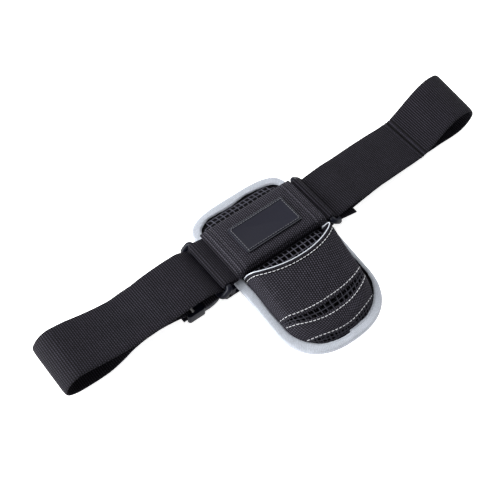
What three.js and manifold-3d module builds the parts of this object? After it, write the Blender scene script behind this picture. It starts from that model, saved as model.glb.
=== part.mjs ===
import * as THREE from 'three';
import Module from 'manifold-3d';
import { mergeVertices } from 'three/addons/utils/BufferGeometryUtils.js';

// A fishing fighting belt that lies fastened on a table, its front up.
// +X runs along the belt, +Y to the top of the pad and +Z up. All lengths are in millimetres.
// The origin is on the table, under the middle of the patch.

// Webbing and fits
const webWidth = 50;
const webThickness = 1.8;
const fit = 0.3;

// Pad and the tape round its edge
const padWidth = 100.8;
const padAbove = 49;
const padBelow = 120.4;
const topRound = 24;
const bottomRound = 45;
const topFullness = 3.6;
const bottomFullness = 2.4;
const padEdge = 2.6;
const padCrown = 8.2;
const crownSlope = 9;
const tapeWidth = 7.5;
const tapeThickness = 0.9;

// Rings
const barRadius = 2.6;
const ringOverhang = 3.6;
const ringCorner = 3.2;
const ringTilt = 40;
const leftRingClear = 7.8;
const rightRingClear = 2.6;
const foldSpace = 0.7;

// Cover and patch
const coverLength = 96;
const coverWidth = 51;
const coverRise = 5.2;
const coverEdge = 1.4;
const coverShift = 1.8;
const patchLength = 57.8;
const patchWidth = 29;
const patchThickness = 1.4;
const patchCorner = 1.5;
const rimWidth = 0.9;
const rimInset = 1.4;
const rimRise = 0.4;

// Pocket
const clothThickness = 1.1;
const netThickness = 0.9;
const mouthRise = 20.5;
const sideSwell = 5.5;
const pocketLean = 3.5;
const pocketRoundness = 2.3;
const hemWidth = 3.4;
const hemThickness = 1.7;
const pipingRadius = 0.55;
const netStrand = 1.1;
const netPitch = 4.6;

// Buckle
const buckleWidth = 57;
const buckleHeight = 9;
const buckleBar = 1.7;
const maleLength = 17;
const armGap = 20;
const femaleLength = 37;
const femaleEnd = -24;
const cheek = 2.9;
const buckleShift = 3;
const armThickness = 5;
const armWidth = 5;
const armDepth = 17;

// Straps
const leftReach = 147.7;
const rightReach = 176.6;
const leftRise = 27.8;
const rightRise = 29.5;
const leftTail = 15;
const rightTail = 20;
const foldTail = 13;
const maleTail = 6;
const buckleClimb = 11;
const leftPast = -22;
const rightPast = 8;

// Heights that follow from the sizes above
const webLayer = webThickness + fit;
const padLift = buckleHeight + 2 * fit;
const tapeHeight = padEdge + 2 * (fit + tapeThickness);
const barFold = barRadius + fit + webThickness / 2;
const buckleFold = buckleBar + fit + webThickness / 2;
const barHeight = padLift + tapeHeight + fit + webThickness / 2 + barFold;
const bandLow = padLift + padCrown + fit + webThickness / 2;
const bandTop = bandLow + webLayer;
const barSpan = 2 * barFold + webThickness + foldSpace;
const tiltAngle = THREE.MathUtils.degToRad(ringTilt);
const innerBar = (side) => padWidth / 2 + (side < 0 ? leftRingClear : rightRingClear);
const outerBar = (side) => innerBar(side) + barSpan * Math.cos(tiltAngle);
const outerHeight = barHeight - barSpan * Math.sin(tiltAngle);

// Shape of the pad's back: how high it lies above the table, from its foot to its top
const backShape = [
  { along: -1, lift: 0 },
  { along: -0.81, lift: 0.15 },
  { along: -0.61, lift: 0.46 },
  { along: -0.41, lift: 0.79 },
  { along: -0.25, lift: 1 },
  { along: 0.25, lift: 1 },
  { along: 0.41, lift: 1.28 },
];

// Seams of the pocket on its middle line and at its feet, as shares of padBelow
const seams = {
  mouth: { middle: -0.392, foot: -0.226, bend: 2.1 },
  upper: { middle: -0.722, foot: -0.63, bend: 2.2 },
  lower: { middle: -0.78, foot: -0.646, bend: 2.2 },
  bottom: { middle: -0.912, foot: -0.83, bend: 2.2 },
};
const pocketEnd = -0.97;

// Left strap, from the ring over the loop and back along the table to the buckle.
// out and rise are shares of leftReach and leftRise, drift of webWidth, turn and lean in degrees.
const leftRun = [
  { out: 0.06, rise: 0.79, drift: 0, turn: 0, lean: 0 },
  { out: 0.114, rise: 0.805, drift: 0, turn: 0, lean: 0 },
  { out: 0.18, rise: 0.795, drift: 0, turn: 0, lean: 0 },
  { out: 0.295, rise: 0.745, drift: 0, turn: 0, lean: -1 },
  { out: 0.4, rise: 0.7, drift: -0.01, turn: 0, lean: -4 },
  { out: 0.503, rise: 0.7, drift: -0.02, turn: 0, lean: -5 },
  { out: 0.61, rise: 0.765, drift: -0.02, turn: 0, lean: -4 },
  { out: 0.705, rise: 0.825, drift: -0.01, turn: 0, lean: -2 },
  { out: 0.79, rise: 0.91, drift: 0, turn: 0, lean: 0 },
  { out: 0.86, rise: 0.98, drift: 0, turn: 0, lean: 0 },
  { out: 0.91, rise: 1, drift: 0, turn: 0, lean: 0 },
  { out: 0.958, rise: 0.89, drift: 0, turn: 0, lean: 0 },
  { out: 0.988, rise: 0.71, drift: 0, turn: 0, lean: 0 },
  { out: 1, rise: 0.5, drift: 0.01, turn: 0, lean: 0 },
  { out: 0.984, rise: 0.29, drift: 0.02, turn: 0, lean: 0 },
  { out: 0.942, rise: 0.135, drift: 0.03, turn: 0, lean: 0 },
  { out: 0.88, rise: 0.055, drift: 0.04, turn: 0, lean: 0 },
  { out: 0.805, rise: 0.033, drift: 0.04, turn: 0, lean: 0 },
  { out: 0.725, rise: 0.06, drift: 0.04, turn: 0, lean: 0 },
  { out: 0.644, rise: 0.2, drift: 0.045, turn: 0, lean: 0 },
  { out: 0.564, rise: 0.38, drift: 0.05, turn: 0, lean: -2 },
  { out: 0.483, rise: 0.44, drift: 0.06, turn: 0, lean: -3 },
  { out: 0.396, rise: 0.425, drift: 0.075, turn: 0, lean: -2 },
  { out: 0.315, rise: 0.36, drift: 0.085, turn: 0, lean: 0 },
];

// Right strap in the same way, as far as the table, and then the stretch that lies flat
const rightRun = [
  { out: 0.126, rise: 0.61, drift: 0.02, turn: -2, lean: 0 },
  { out: 0.223, rise: 0.53, drift: 0.05, turn: -4, lean: 0 },
  { out: 0.349, rise: 0.45, drift: 0.085, turn: -4, lean: 2 },
  { out: 0.465, rise: 0.38, drift: 0.115, turn: -4, lean: 2 },
  { out: 0.582, rise: 0.3, drift: 0.145, turn: -2, lean: 1 },
  { out: 0.64, rise: 0.33, drift: 0.16, turn: 0, lean: 1 },
  { out: 0.705, rise: 0.53, drift: 0.175, turn: 0, lean: 1 },
  { out: 0.771, rise: 0.78, drift: 0.19, turn: 1, lean: 2 },
  { out: 0.843, rise: 0.96, drift: 0.21, turn: 2, lean: 4 },
  { out: 0.901, rise: 1, drift: 0.225, turn: 3, lean: 5 },
  { out: 0.96, rise: 0.92, drift: 0.24, turn: 3, lean: 5 },
  { out: 0.992, rise: 0.74, drift: 0.25, turn: 3, lean: 4 },
  { out: 1, rise: 0.5, drift: 0.25, turn: 3, lean: 3 },
  { out: 0.979, rise: 0.27, drift: 0.25, turn: 3, lean: 2 },
  { out: 0.935, rise: 0.11, drift: 0.245, turn: 2, lean: 1 },
  { out: 0.872, rise: 0.04, drift: 0.245, turn: 1, lean: 0 },
  { out: 0.795, rise: 0.05, drift: 0.245, turn: 0, lean: 0 },
  { out: 0.708, rise: 0.05, drift: 0.24, turn: -1, lean: 0 },
  { out: 0.591, rise: 0.05, drift: 0.235, turn: -2, lean: 0 },
  { out: 0.456, rise: 0.04, drift: 0.22, turn: -2, lean: 0 },
  { out: 0.32, rise: 0.034, drift: 0.195, turn: -2, lean: 0 },
  { out: 0.126, rise: 0.034, drift: 0.13, turn: -2, lean: 0 },
];

const group = new THREE.Group();
const wasm = await Module();
wasm.setup();

const finishes = {
  webbing: new THREE.MeshStandardMaterial({ color: 0x1c1c20, roughness: 0.85, metalness: 0 }),
  cloth: new THREE.MeshStandardMaterial({ color: 0x25252a, roughness: 0.8, metalness: 0 }),
  padding: new THREE.MeshStandardMaterial({ color: 0x17171a, roughness: 0.9, metalness: 0 }),
  net: new THREE.MeshStandardMaterial({ color: 0x4a4a50, roughness: 0.8, metalness: 0 }),
  tape: new THREE.MeshStandardMaterial({ color: 0xb9c3cb, roughness: 0.75, metalness: 0 }),
  piping: new THREE.MeshStandardMaterial({ color: 0xe4e8ea, roughness: 0.6, metalness: 0 }),
  rubber: new THREE.MeshStandardMaterial({ color: 0x3b3c42, roughness: 0.6, metalness: 0 }),
  plastic: new THREE.MeshStandardMaterial({ color: 0x2b2c31, roughness: 0.45, metalness: 0 }),
};

// Adds a closed body to the model under its plain name.
function addPiece(name, geometry, finish) {
  const mesh = new THREE.Mesh(geometry, finishes[finish]);
  mesh.name = name;
  group.add(mesh);
}

// Builds a geometry from points and faces, and turns the faces outwards.
function closedBody(points, faces) {
  let volume = 0;
  for (const [a, b, c] of faces) {
    volume += points[a].dot(new THREE.Vector3().crossVectors(points[b], points[c]));
  }
  const outward = volume > 0 ? faces : faces.map(([a, b, c]) => [a, c, b]);
  const geometry = new THREE.BufferGeometry();
  geometry.setAttribute(
    'position',
    new THREE.Float32BufferAttribute(points.flatMap((point) => point.toArray()), 3),
  );
  geometry.setIndex(outward.flat());
  return geometry;
}

// Joins like sections into a body; a closed run meets its own start, an open one gets end caps.
function loft(sections, closed) {
  const points = sections.flat();
  const count = sections[0].length;
  const faces = [];
  const spans = closed ? sections.length : sections.length - 1;
  for (let i = 0; i < spans; i += 1) {
    const here = i * count;
    const next = ((i + 1) % sections.length) * count;
    for (let j = 0; j < count; j += 1) {
      const k = (j + 1) % count;
      faces.push([here + j, next + j, next + k], [here + j, next + k, here + k]);
    }
  }
  if (!closed) {
    const last = (sections.length - 1) * count;
    for (let j = 1; j < count - 1; j += 1) {
      faces.push([0, j, j + 1], [last, last + j + 1, last + j]);
    }
  }
  return closedBody(points, faces);
}

// A sheet with an outer and an inner face over a grid; open(i, j) leaves a hole in that cell.
function sheetBody(across, along, outer, inner, open = () => false) {
  const points = [];
  for (const face of [outer, inner]) {
    for (let j = 0; j <= along; j += 1) {
      for (let i = 0; i <= across; i += 1) points.push(face(i, j));
    }
  }
  const row = across + 1;
  const back = row * (along + 1);
  const filled = (i, j) => i >= 0 && j >= 0 && i < across && j < along && !open(i, j);
  const faces = [];
  const wall = (a, b) => faces.push([a, b, b + back], [a, b + back, a + back]);
  for (let j = 0; j < along; j += 1) {
    for (let i = 0; i < across; i += 1) {
      if (!filled(i, j)) continue;
      const a = j * row + i;
      const b = a + 1;
      const c = a + row + 1;
      const d = a + row;
      faces.push([a, c, b], [a, d, c]);
      faces.push([a + back, b + back, c + back], [a + back, c + back, d + back]);
      if (!filled(i, j - 1)) wall(a, b);
      if (!filled(i + 1, j)) wall(b, c);
      if (!filled(i, j + 1)) wall(c, d);
      if (!filled(i - 1, j)) wall(d, a);
    }
  }
  return tidyBody(points, faces);
}

// Drops the points that no face uses.
function tidyBody(points, faces) {
  const places = new Map();
  const kept = [];
  const moved = faces.map((face) => face.map((index) => {
    if (!places.has(index)) {
      places.set(index, kept.length);
      kept.push(points[index]);
    }
    return places.get(index);
  }));
  return closedBody(kept, moved);
}

// Turns a three.js geometry into a solid that can be joined and cut.
function toSolid(geometry) {
  const bare = geometry.clone();
  bare.deleteAttribute('normal');
  bare.deleteAttribute('uv');
  const merged = mergeVertices(bare, 1e-4);
  return new wasm.Manifold(new wasm.Mesh({
    numProp: 3,
    vertProperties: new Float32Array(merged.attributes.position.array),
    triVerts: new Uint32Array(merged.index.array),
  }));
}

function fromSolid(solid) {
  const { vertProperties, triVerts } = solid.getMesh();
  const geometry = new THREE.BufferGeometry();
  geometry.setAttribute('position', new THREE.Float32BufferAttribute(vertProperties, 3));
  geometry.setIndex(Array.from(triVerts));
  return geometry;
}

// A box between two corners.
function block(low, high) {
  const size = high.map((value, i) => value - low[i]);
  const middle = high.map((value, i) => (value + low[i]) / 2);
  return new THREE.BoxGeometry(...size).translate(...middle);
}

// A flat plate with the outline of a shape, from one height to another.
function plate(shape, bottom, top) {
  const geometry = new THREE.ExtrudeGeometry(shape, {
    depth: top - bottom,
    bevelEnabled: false,
    curveSegments: 4,
  });
  return geometry.translate(0, 0, bottom);
}

function roundedRectangle(width, height, corner, ShapeType = THREE.Shape) {
  const x = width / 2;
  const y = height / 2;
  const shape = new ShapeType();
  shape.moveTo(-x + corner, -y);
  shape.lineTo(x - corner, -y);
  shape.absarc(x - corner, -y + corner, corner, -Math.PI / 2, 0, false);
  shape.lineTo(x, y - corner);
  shape.absarc(x - corner, y - corner, corner, 0, Math.PI / 2, false);
  shape.lineTo(-x + corner, y);
  shape.absarc(-x + corner, y - corner, corner, Math.PI / 2, Math.PI, false);
  shape.lineTo(-x, -y + corner);
  shape.absarc(-x + corner, -y + corner, corner, Math.PI, 1.5 * Math.PI, false);
  return shape;
}

const mix = (a, b, t) => a + (b - a) * t;
const ease = (t) => {
  const s = Math.min(Math.max(t, 0), 1);
  return s * s * (3 - 2 * s);
};

// Height of the pad's back above the table at a place along Y.
const backCurve = new THREE.SplineCurve(backShape.map(({ along, lift }) => (
  new THREE.Vector2(along * padBelow, lift * padLift)
)));
const backPoints = backCurve.getPoints(12 * (backShape.length - 1));
function backHeight(y) {
  const last = backPoints.length - 1;
  if (y <= backPoints[0].x) return backPoints[0].y;
  if (y >= backPoints[last].x) return backPoints[last].y;
  const k = backPoints.findIndex((point) => point.x > y);
  const [a, b] = [backPoints[k - 1], backPoints[k]];
  return Math.max(0, mix(a.y, b.y, (y - a.x) / (b.x - a.x)));
}

// How far the point lies outside (above 1) or inside (below 1) the outline set in by a distance.
function outlineValue(x, y, inset) {
  const half = padWidth / 2 - inset;
  const above = y - (padAbove - topRound);
  const below = -padBelow + bottomRound - y;
  if (above > 0) {
    return (Math.abs(x) / half) ** topFullness + (above / (topRound - inset)) ** topFullness;
  }
  if (below > 0) {
    return (Math.abs(x) / half) ** bottomFullness
      + (below / (bottomRound - inset)) ** bottomFullness;
  }
  return Math.abs(x) / half;
}

// Distance from the pad's outline to a point inside it.
function insideDistance(x, y) {
  let low = 0;
  let high = topRound - fit;
  for (let step = 0; step < 18; step += 1) {
    const middle = (low + high) / 2;
    if (outlineValue(x, y, middle) < 1) low = middle;
    else high = middle;
  }
  return low;
}

// Half the width between the pocket's feet at a place along Y.
function halfWidth(y, inset) {
  const half = padWidth / 2 - inset;
  const above = Math.max(y - (padAbove - topRound), 0) / (topRound - inset);
  const below = Math.max(-padBelow + bottomRound - y, 0) / (bottomRound - inset);
  const share = above > 0 ? above : below;
  const power = above > 0 ? topFullness : bottomFullness;
  return half * Math.max(1 - Math.min(share, 1) ** power, 0) ** (1 / power);
}

// Points of the outline set in by a distance, all the way round, the same number on each side.
const endSteps = 10;
const sideSteps = 8;
function outlineSide(inset) {
  const half = padWidth / 2 - inset;
  const side = [];
  for (let i = 0; i <= endSteps; i += 1) {
    const angle = (i / endSteps) * (Math.PI / 2);
    side.push(new THREE.Vector2(
      half * Math.sin(angle) ** (2 / bottomFullness),
      -padBelow + bottomRound - (bottomRound - inset) * Math.cos(angle) ** (2 / bottomFullness),
    ));
  }
  for (let i = 1; i < sideSteps; i += 1) {
    side.push(new THREE.Vector2(
      half,
      mix(-padBelow + bottomRound, padAbove - topRound, i / sideSteps),
    ));
  }
  for (let i = 0; i <= endSteps; i += 1) {
    const angle = (i / endSteps) * (Math.PI / 2);
    side.push(new THREE.Vector2(
      half * Math.max(Math.cos(angle), 0) ** (2 / topFullness),
      padAbove - topRound + (topRound - inset) * Math.sin(angle) ** (2 / topFullness),
    ));
  }
  side[0].x = 0;
  side[side.length - 1].x = 0;
  return side;
}
function outlineLoop(inset) {
  const right = outlineSide(inset);
  const left = right.slice(1, -1).reverse().map((point) => new THREE.Vector2(-point.x, point.y));
  return [...right, ...left];
}

// Top of the pad's front face.
const faceEdge = tapeThickness + fit + padEdge;
const tapeReach = tapeWidth + fit;
function padFace(x, y) {
  const rise = ease((insideDistance(x, y) - tapeReach) / crownSlope);
  return backHeight(y) + mix(faceEdge, padCrown, rise);
}

// Pad: rings that follow the outline, closed by strips across the middle
function padBody() {
  const edge = tapeThickness + fit;
  const rings = [
    { inset: edge + padEdge / 4, top: faceEdge, bottom: edge },
    { inset: tapeReach, top: faceEdge, bottom: edge },
    { inset: tapeReach + 0.2 * crownSlope },
    { inset: tapeReach + 0.45 * crownSlope },
    { inset: tapeReach + 0.7 * crownSlope },
    { inset: tapeReach + crownSlope },
    { inset: topRound - 2 },
  ];
  const loops = rings.map(({ inset, top, bottom }) => outlineLoop(inset).map((point) => {
    const base = backHeight(point.y);
    const upper = top === undefined ? padFace(point.x, point.y) : base + top;
    const lower = bottom === undefined ? base : base + bottom;
    return [
      new THREE.Vector3(point.x, point.y, upper),
      new THREE.Vector3(point.x, point.y, lower),
    ];
  }));
  const nose = outlineLoop(edge).map((point) => (
    new THREE.Vector3(point.x, point.y, backHeight(point.y) + (faceEdge + edge) / 2)
  ));
  const count = nose.length;
  const half = count / 2;
  const points = [...nose];
  for (const loop of loops) {
    points.push(...loop.map(([upper]) => upper), ...loop.map(([, lower]) => lower));
  }
  const start = (ring, lower) => count * (1 + 2 * ring + (lower ? 1 : 0));
  const faces = [];
  for (let i = 0; i < count; i += 1) {
    const k = (i + 1) % count;
    faces.push([i, k, start(0, false) + k], [i, start(0, false) + k, start(0, false) + i]);
    faces.push([i, start(0, true) + k, k], [i, start(0, true) + i, start(0, true) + k]);
    for (let ring = 0; ring < loops.length - 1; ring += 1) {
      const [a, b] = [start(ring, false), start(ring + 1, false)];
      faces.push([a + i, a + k, b + k], [a + i, b + k, b + i]);
      const [c, d] = [start(ring, true), start(ring + 1, true)];
      faces.push([c + i, d + k, c + k], [c + i, d + i, d + k]);
    }
  }
  const [top, bottom] = [start(loops.length - 1, false), start(loops.length - 1, true)];
  for (let i = 0; i < half; i += 1) {
    const a = i;
    const b = i + 1;
    const c = count - i - 1;
    const d = (count - i) % count;
    if (i > 0) {
      faces.push([top + a, top + c, top + d]);
      faces.push([bottom + a, bottom + d, bottom + c]);
    }
    if (b !== c) {
      faces.push([top + a, top + b, top + c]);
      faces.push([bottom + a, bottom + c, bottom + b]);
    }
  }
  return closedBody(points, faces);
}

// Tape: a folded channel round the pad's edge
function tapeBody() {
  const inner = tapeHeight - tapeThickness;
  const channel = [
    { inset: tapeWidth, height: inner },
    { inset: tapeWidth, height: tapeHeight - 0.1 },
    { inset: tapeThickness + fit, height: tapeHeight },
    { inset: 0.3 * tapeThickness, height: 0.8 * tapeHeight },
    { inset: 0, height: 0.5 * tapeHeight },
    { inset: 0.3 * tapeThickness, height: 0.2 * tapeHeight },
    { inset: tapeThickness + fit, height: 0 },
    { inset: tapeWidth, height: 0 },
    { inset: tapeWidth, height: tapeThickness },
    { inset: tapeThickness, height: tapeThickness },
    { inset: tapeThickness, height: inner },
  ];
  const loops = channel.map(({ inset }) => outlineLoop(inset));
  const sections = loops[0].map((_, i) => channel.map(({ height }, j) => {
    const point = loops[j][i];
    return new THREE.Vector3(point.x, point.y, backHeight(point.y) + height);
  }));
  return loft(sections, true);
}

// Webbing as a flat band along a run of places, each with its cross direction
function webBody(places, width, thickness) {
  const middles = places.map(({ x, y, z }) => new THREE.Vector3(x, y, z));
  const sections = middles.map((middle, i) => {
    const before = middles[Math.max(i - 1, 0)];
    const after = middles[Math.min(i + 1, middles.length - 1)];
    const forward = new THREE.Vector3().subVectors(after, before).normalize();
    const turn = THREE.MathUtils.degToRad(places[i].turn ?? 0);
    const lean = THREE.MathUtils.degToRad(places[i].lean ?? 0);
    const across = new THREE.Vector3(
      Math.sin(turn) * Math.cos(lean),
      Math.cos(turn) * Math.cos(lean),
      Math.sin(lean),
    );
    const up = new THREE.Vector3().crossVectors(forward, across).normalize();
    const corner = (side, level) => middle.clone()
      .addScaledVector(across, (side * width) / 2)
      .addScaledVector(up, (level * thickness) / 2);
    return [corner(-1, -1), corner(1, -1), corner(1, 1), corner(-1, 1)];
  });
  return loft(sections, false);
}

// A turn round a bar that lies along Y, half a turn and a little past it, in degrees.
// side is 1 for a fold on the bar's right and -1 for one on its left.
function foldRound(x, z, radius, side, upwards, past = 0, extra = {}) {
  const steps = 10;
  const sweep = Math.PI + THREE.MathUtils.degToRad(past);
  return Array.from({ length: steps + 1 }, (_, i) => {
    const angle = (upwards ? -1 : 1) * (Math.PI / 2 - (i / steps) * sweep);
    return {
      x: x + side * radius * Math.cos(angle),
      y: 0,
      z: z + radius * Math.sin(angle),
      ...extra,
    };
  });
}

// An even change of height between two places along X, without its ends.
function ramp(from, to, steps = 5) {
  return Array.from({ length: steps - 1 }, (_, i) => {
    const t = (i + 1) / steps;
    return { x: mix(from.x, to.x, t), y: mix(from.y ?? 0, to.y ?? 0, t), z: mix(from.z, to.z, ease(t)) };
  });
}

// Places along a smooth curve through the rows of a table.
function smoothRun(rows, steps) {
  const path = new THREE.CatmullRomCurve3(rows.map(({ x, y, z }) => new THREE.Vector3(x, y, z)));
  const tilt = new THREE.CatmullRomCurve3(
    rows.map(({ turn = 0, lean = 0 }) => new THREE.Vector3(turn, lean, 0)),
    false,
    'catmullrom',
  );
  const count = steps * (rows.length - 1);
  return Array.from({ length: count + 1 }, (_, i) => {
    const { x, y, z } = path.getPoint(i / count);
    const angles = tilt.getPoint(i / count);
    return { x, y, z, turn: angles.x, lean: angles.y };
  });
}

// Front band: one webbing folded round the inner bar of both rings, its ends under the cover
function bandBody() {
  const flat = padWidth / 2 - tapeReach - crownSlope + 2;
  const seamGap = 2;
  const foldLow = barHeight - barFold;
  const foldTop = barHeight + barFold;
  const topFlat = coverLength / 2;
  const half = (side) => [
    { x: side * seamGap, y: 0, z: bandLow },
    { x: side * flat, y: 0, z: bandLow },
    ...ramp({ x: side * flat, z: bandLow }, { x: side * innerBar(side), z: foldLow }),
    ...foldRound(side * innerBar(side), barHeight, barFold, side, true),
    ...ramp({ x: side * innerBar(side), z: foldTop }, { x: side * topFlat, z: bandTop }),
    { x: side * topFlat, y: 0, z: bandTop },
  ];
  const places = [...half(-1), ...half(1).reverse()];
  return webBody(places, webWidth, webThickness);
}

// Cover: a padded cloth slab, thin at its sewn edges
function coverBody() {
  const across = 16;
  const along = 8;
  const foot = bandTop + webThickness / 2 + fit;
  const shareAt = (i, count) => Math.sin((i / count - 0.5) * Math.PI);
  const spot = (i, j) => {
    const u = shareAt(i, across);
    const v = shareAt(j, along);
    return { u, v, x: (u * coverLength) / 2, y: (v * coverWidth) / 2 + coverShift };
  };
  const outer = (i, j) => {
    const { u, v, x, y } = spot(i, j);
    const swell = Math.sqrt((1 - Math.abs(u) ** 9) * (1 - Math.abs(v) ** 6));
    return new THREE.Vector3(x, y, foot + mix(coverEdge, coverRise, swell));
  };
  const inner = (i, j) => {
    const { x, y } = spot(i, j);
    return new THREE.Vector3(x, y, foot);
  };
  return sheetBody(across, along, outer, inner);
}

// Patch: a thin rubber plate with a raised line round it
function patchBody() {
  const foot = bandTop + webThickness / 2 + 2 * fit + coverRise;
  const top = foot + patchThickness;
  const base = plate(roundedRectangle(patchLength, patchWidth, patchCorner), foot, top);
  const line = (inset, ShapeType) => roundedRectangle(
    patchLength - 2 * inset,
    patchWidth - 2 * inset,
    patchCorner,
    ShapeType,
  );
  const rim = line(rimInset);
  rim.holes.push(line(rimInset + rimWidth, THREE.Path));
  return fromSolid(toSolid(base).add(toSolid(plate(rim, top - rimRise, top + rimRise))));
}

// Ring: a round plastic bar bent to a rectangle, two long bars along Y, the outer one lower
function ringBody(side) {
  const sides = 8;
  const path = roundedRectangle(barSpan, webWidth + 2 * ringOverhang, ringCorner)
    .getPoints(3)
    .filter((point, i, all) => point.distanceTo(all[(i + 1) % all.length]) > fit / 10);
  const middle = new THREE.Vector3(
    (side * (innerBar(side) + outerBar(side))) / 2,
    0,
    (barHeight + outerHeight) / 2,
  );
  const outwards = new THREE.Vector3(side * Math.cos(tiltAngle), 0, -Math.sin(tiltAngle));
  const upwards = new THREE.Vector3(side * Math.sin(tiltAngle), 0, Math.cos(tiltAngle));
  const sections = path.map((point, i) => {
    const before = path[(i + path.length - 1) % path.length];
    const after = path[(i + 1) % path.length];
    const arriving = point.clone().sub(before).normalize();
    const forward = after.clone().sub(point).normalize().add(arriving).normalize();
    return Array.from({ length: sides }, (_, j) => {
      const angle = ((j + 0.5) / sides) * 2 * Math.PI;
      const out = barRadius * Math.cos(angle);
      return middle.clone()
        .addScaledVector(outwards, point.x + forward.y * out)
        .addScaledVector(upwards, barRadius * Math.sin(angle))
        .setY(point.y - forward.x * out);
    });
  });
  return loft(sections, true);
}

// Pocket: its surface over the pad's face, a half cone that is widest and highest at the mouth
const pocketFoot = pocketEnd * padBelow;
const mouthMiddle = seams.mouth.middle * padBelow;
function bulge(y) {
  return mouthRise * Math.max((y - pocketFoot) / (mouthMiddle - pocketFoot), 0);
}
function seamAt(seam, u) {
  const lean = Math.abs(Math.sin((u * Math.PI) / 2));
  return padBelow * mix(seam.middle, seam.foot, lean ** seam.bend);
}
function footAt(u, y, inset) {
  const sine = Math.sin((u * Math.PI) / 2);
  const out = Math.sign(sine) * Math.abs(sine) ** (2 / pocketRoundness);
  return halfWidth(y, tapeReach + inset) * out;
}
function pocketPoint(u, y, inset, lift) {
  const foot = footAt(u, y, inset);
  const fullness = bulge(y) / mouthRise;
  const lean = pocketLean * Math.cos((u * Math.PI) / 2) ** 2;
  const swell = sideSwell * Math.sign(u) * Math.sin(u * Math.PI) ** 2;
  const x = foot + fullness * (swell + lean);
  const z = padFace(foot, y) + fit + (bulge(y) + lift) * Math.cos((u * Math.PI) / 2);
  return new THREE.Vector3(x, y, z);
}

// A strip of the pocket between two seams.
function pocketStrip(across, along, upperY, lowerY, thickness, lift = 0) {
  const spot = (i, j) => {
    const u = mix(-1, 1, i / across);
    return { u, y: mix(upperY(u), lowerY(u), j / along) };
  };
  const outer = (i, j) => {
    const { u, y } = spot(i, j);
    return pocketPoint(u, y, 0, thickness + lift);
  };
  const inner = (i, j) => {
    const { u, y } = spot(i, j);
    return pocketPoint(u, y, thickness, lift);
  };
  return sheetBody(across, along, outer, inner);
}

const hemLower = (u) => seamAt(seams.mouth, u) - hemWidth;
const pocketSteps = 24;
const hemBody = () => pocketStrip(
  pocketSteps,
  1,
  (u) => seamAt(seams.mouth, u),
  hemLower,
  hemThickness,
  (clothThickness - hemThickness) / 2,
);
const panelBody = () => pocketStrip(
  pocketSteps,
  6,
  (u) => hemLower(u) - fit,
  (u) => seamAt(seams.upper, u),
  clothThickness,
);
const pocketBandBody = () => pocketStrip(
  pocketSteps,
  3,
  (u) => seamAt(seams.lower, u),
  (u) => seamAt(seams.bottom, u),
  clothThickness,
);

// Even places of strands and holes, from 0 to 1, with a strand at both ends.
function netLines(holes, strandShare) {
  const lines = [];
  const strand = strandShare / (holes + strandShare);
  const step = (1 - strand) / holes;
  for (let k = 0; k <= holes; k += 1) lines.push(k * step, Math.min(k * step + strand, 1));
  return lines;
}
const strandShare = netStrand / netPitch;

// Net between the panel and the band, cut through in two rows of holes
function pocketNetBody() {
  const holes = Math.round((padWidth - 2 * tapeReach) / netPitch);
  const columns = netLines(holes, strandShare);
  const lines = netLines(2, strandShare);
  const across = columns.length - 1;
  const along = lines.length - 1;
  const spot = (i, j) => {
    const u = (Math.asin(mix(-1, 1, columns[i])) * 2) / Math.PI;
    const y = mix(seamAt(seams.upper, u) - fit, seamAt(seams.lower, u) + fit, lines[j]);
    return { u, y };
  };
  const outer = (i, j) => {
    const { u, y } = spot(i, j);
    return pocketPoint(u, y, 0, netThickness);
  };
  const inner = (i, j) => {
    const { u, y } = spot(i, j);
    return pocketPoint(u, y, netThickness, 0);
  };
  const endColumns = 5;
  const open = (i, j) => (
    i % 2 === 1 && j % 2 === 1 && i > endColumns && i < across - 1 - endColumns
  );
  return sheetBody(across, along, outer, inner, open);
}

// Net between the pocket's band and the tape, with one row of holes
function bottomNetBody() {
  const reach = 0.9;
  const holes = 14;
  const columns = netLines(holes, strandShare);
  const lines = netLines(1, strandShare);
  const half = padWidth / 2 - tapeReach;
  const spot = (i, j) => {
    const u = mix(-reach, reach, columns[i]);
    const upper = pocketPoint(u, seamAt(seams.bottom, u), 0, 0);
    const foot = footAt(u, upper.y, 0);
    const share = Math.max(1 - Math.abs(foot / half) ** bottomFullness, 0);
    const lower = -padBelow + bottomRound
      - (bottomRound - tapeReach) * share ** (1 / bottomFullness);
    const y = mix(upper.y - fit, lower, lines[j]);
    const rise = (1 - lines[j]) * bulge(upper.y) * Math.cos((u * Math.PI) / 2);
    return { x: mix(upper.x, foot, lines[j]), y, z: padFace(foot, y) + fit + rise };
  };
  const outer = (i, j) => {
    const { x, y, z } = spot(i, j);
    return new THREE.Vector3(x, y, z + netThickness);
  };
  const inner = (i, j) => {
    const { x, y, z } = spot(i, j);
    return new THREE.Vector3(x, y, z);
  };
  const across = columns.length - 1;
  const endColumns = 4;
  const open = (i, j) => (
    i % 2 === 1 && j === 1 && i > endColumns && i < across - 1 - endColumns
  );
  return sheetBody(across, lines.length - 1, outer, inner, open);
}

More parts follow.
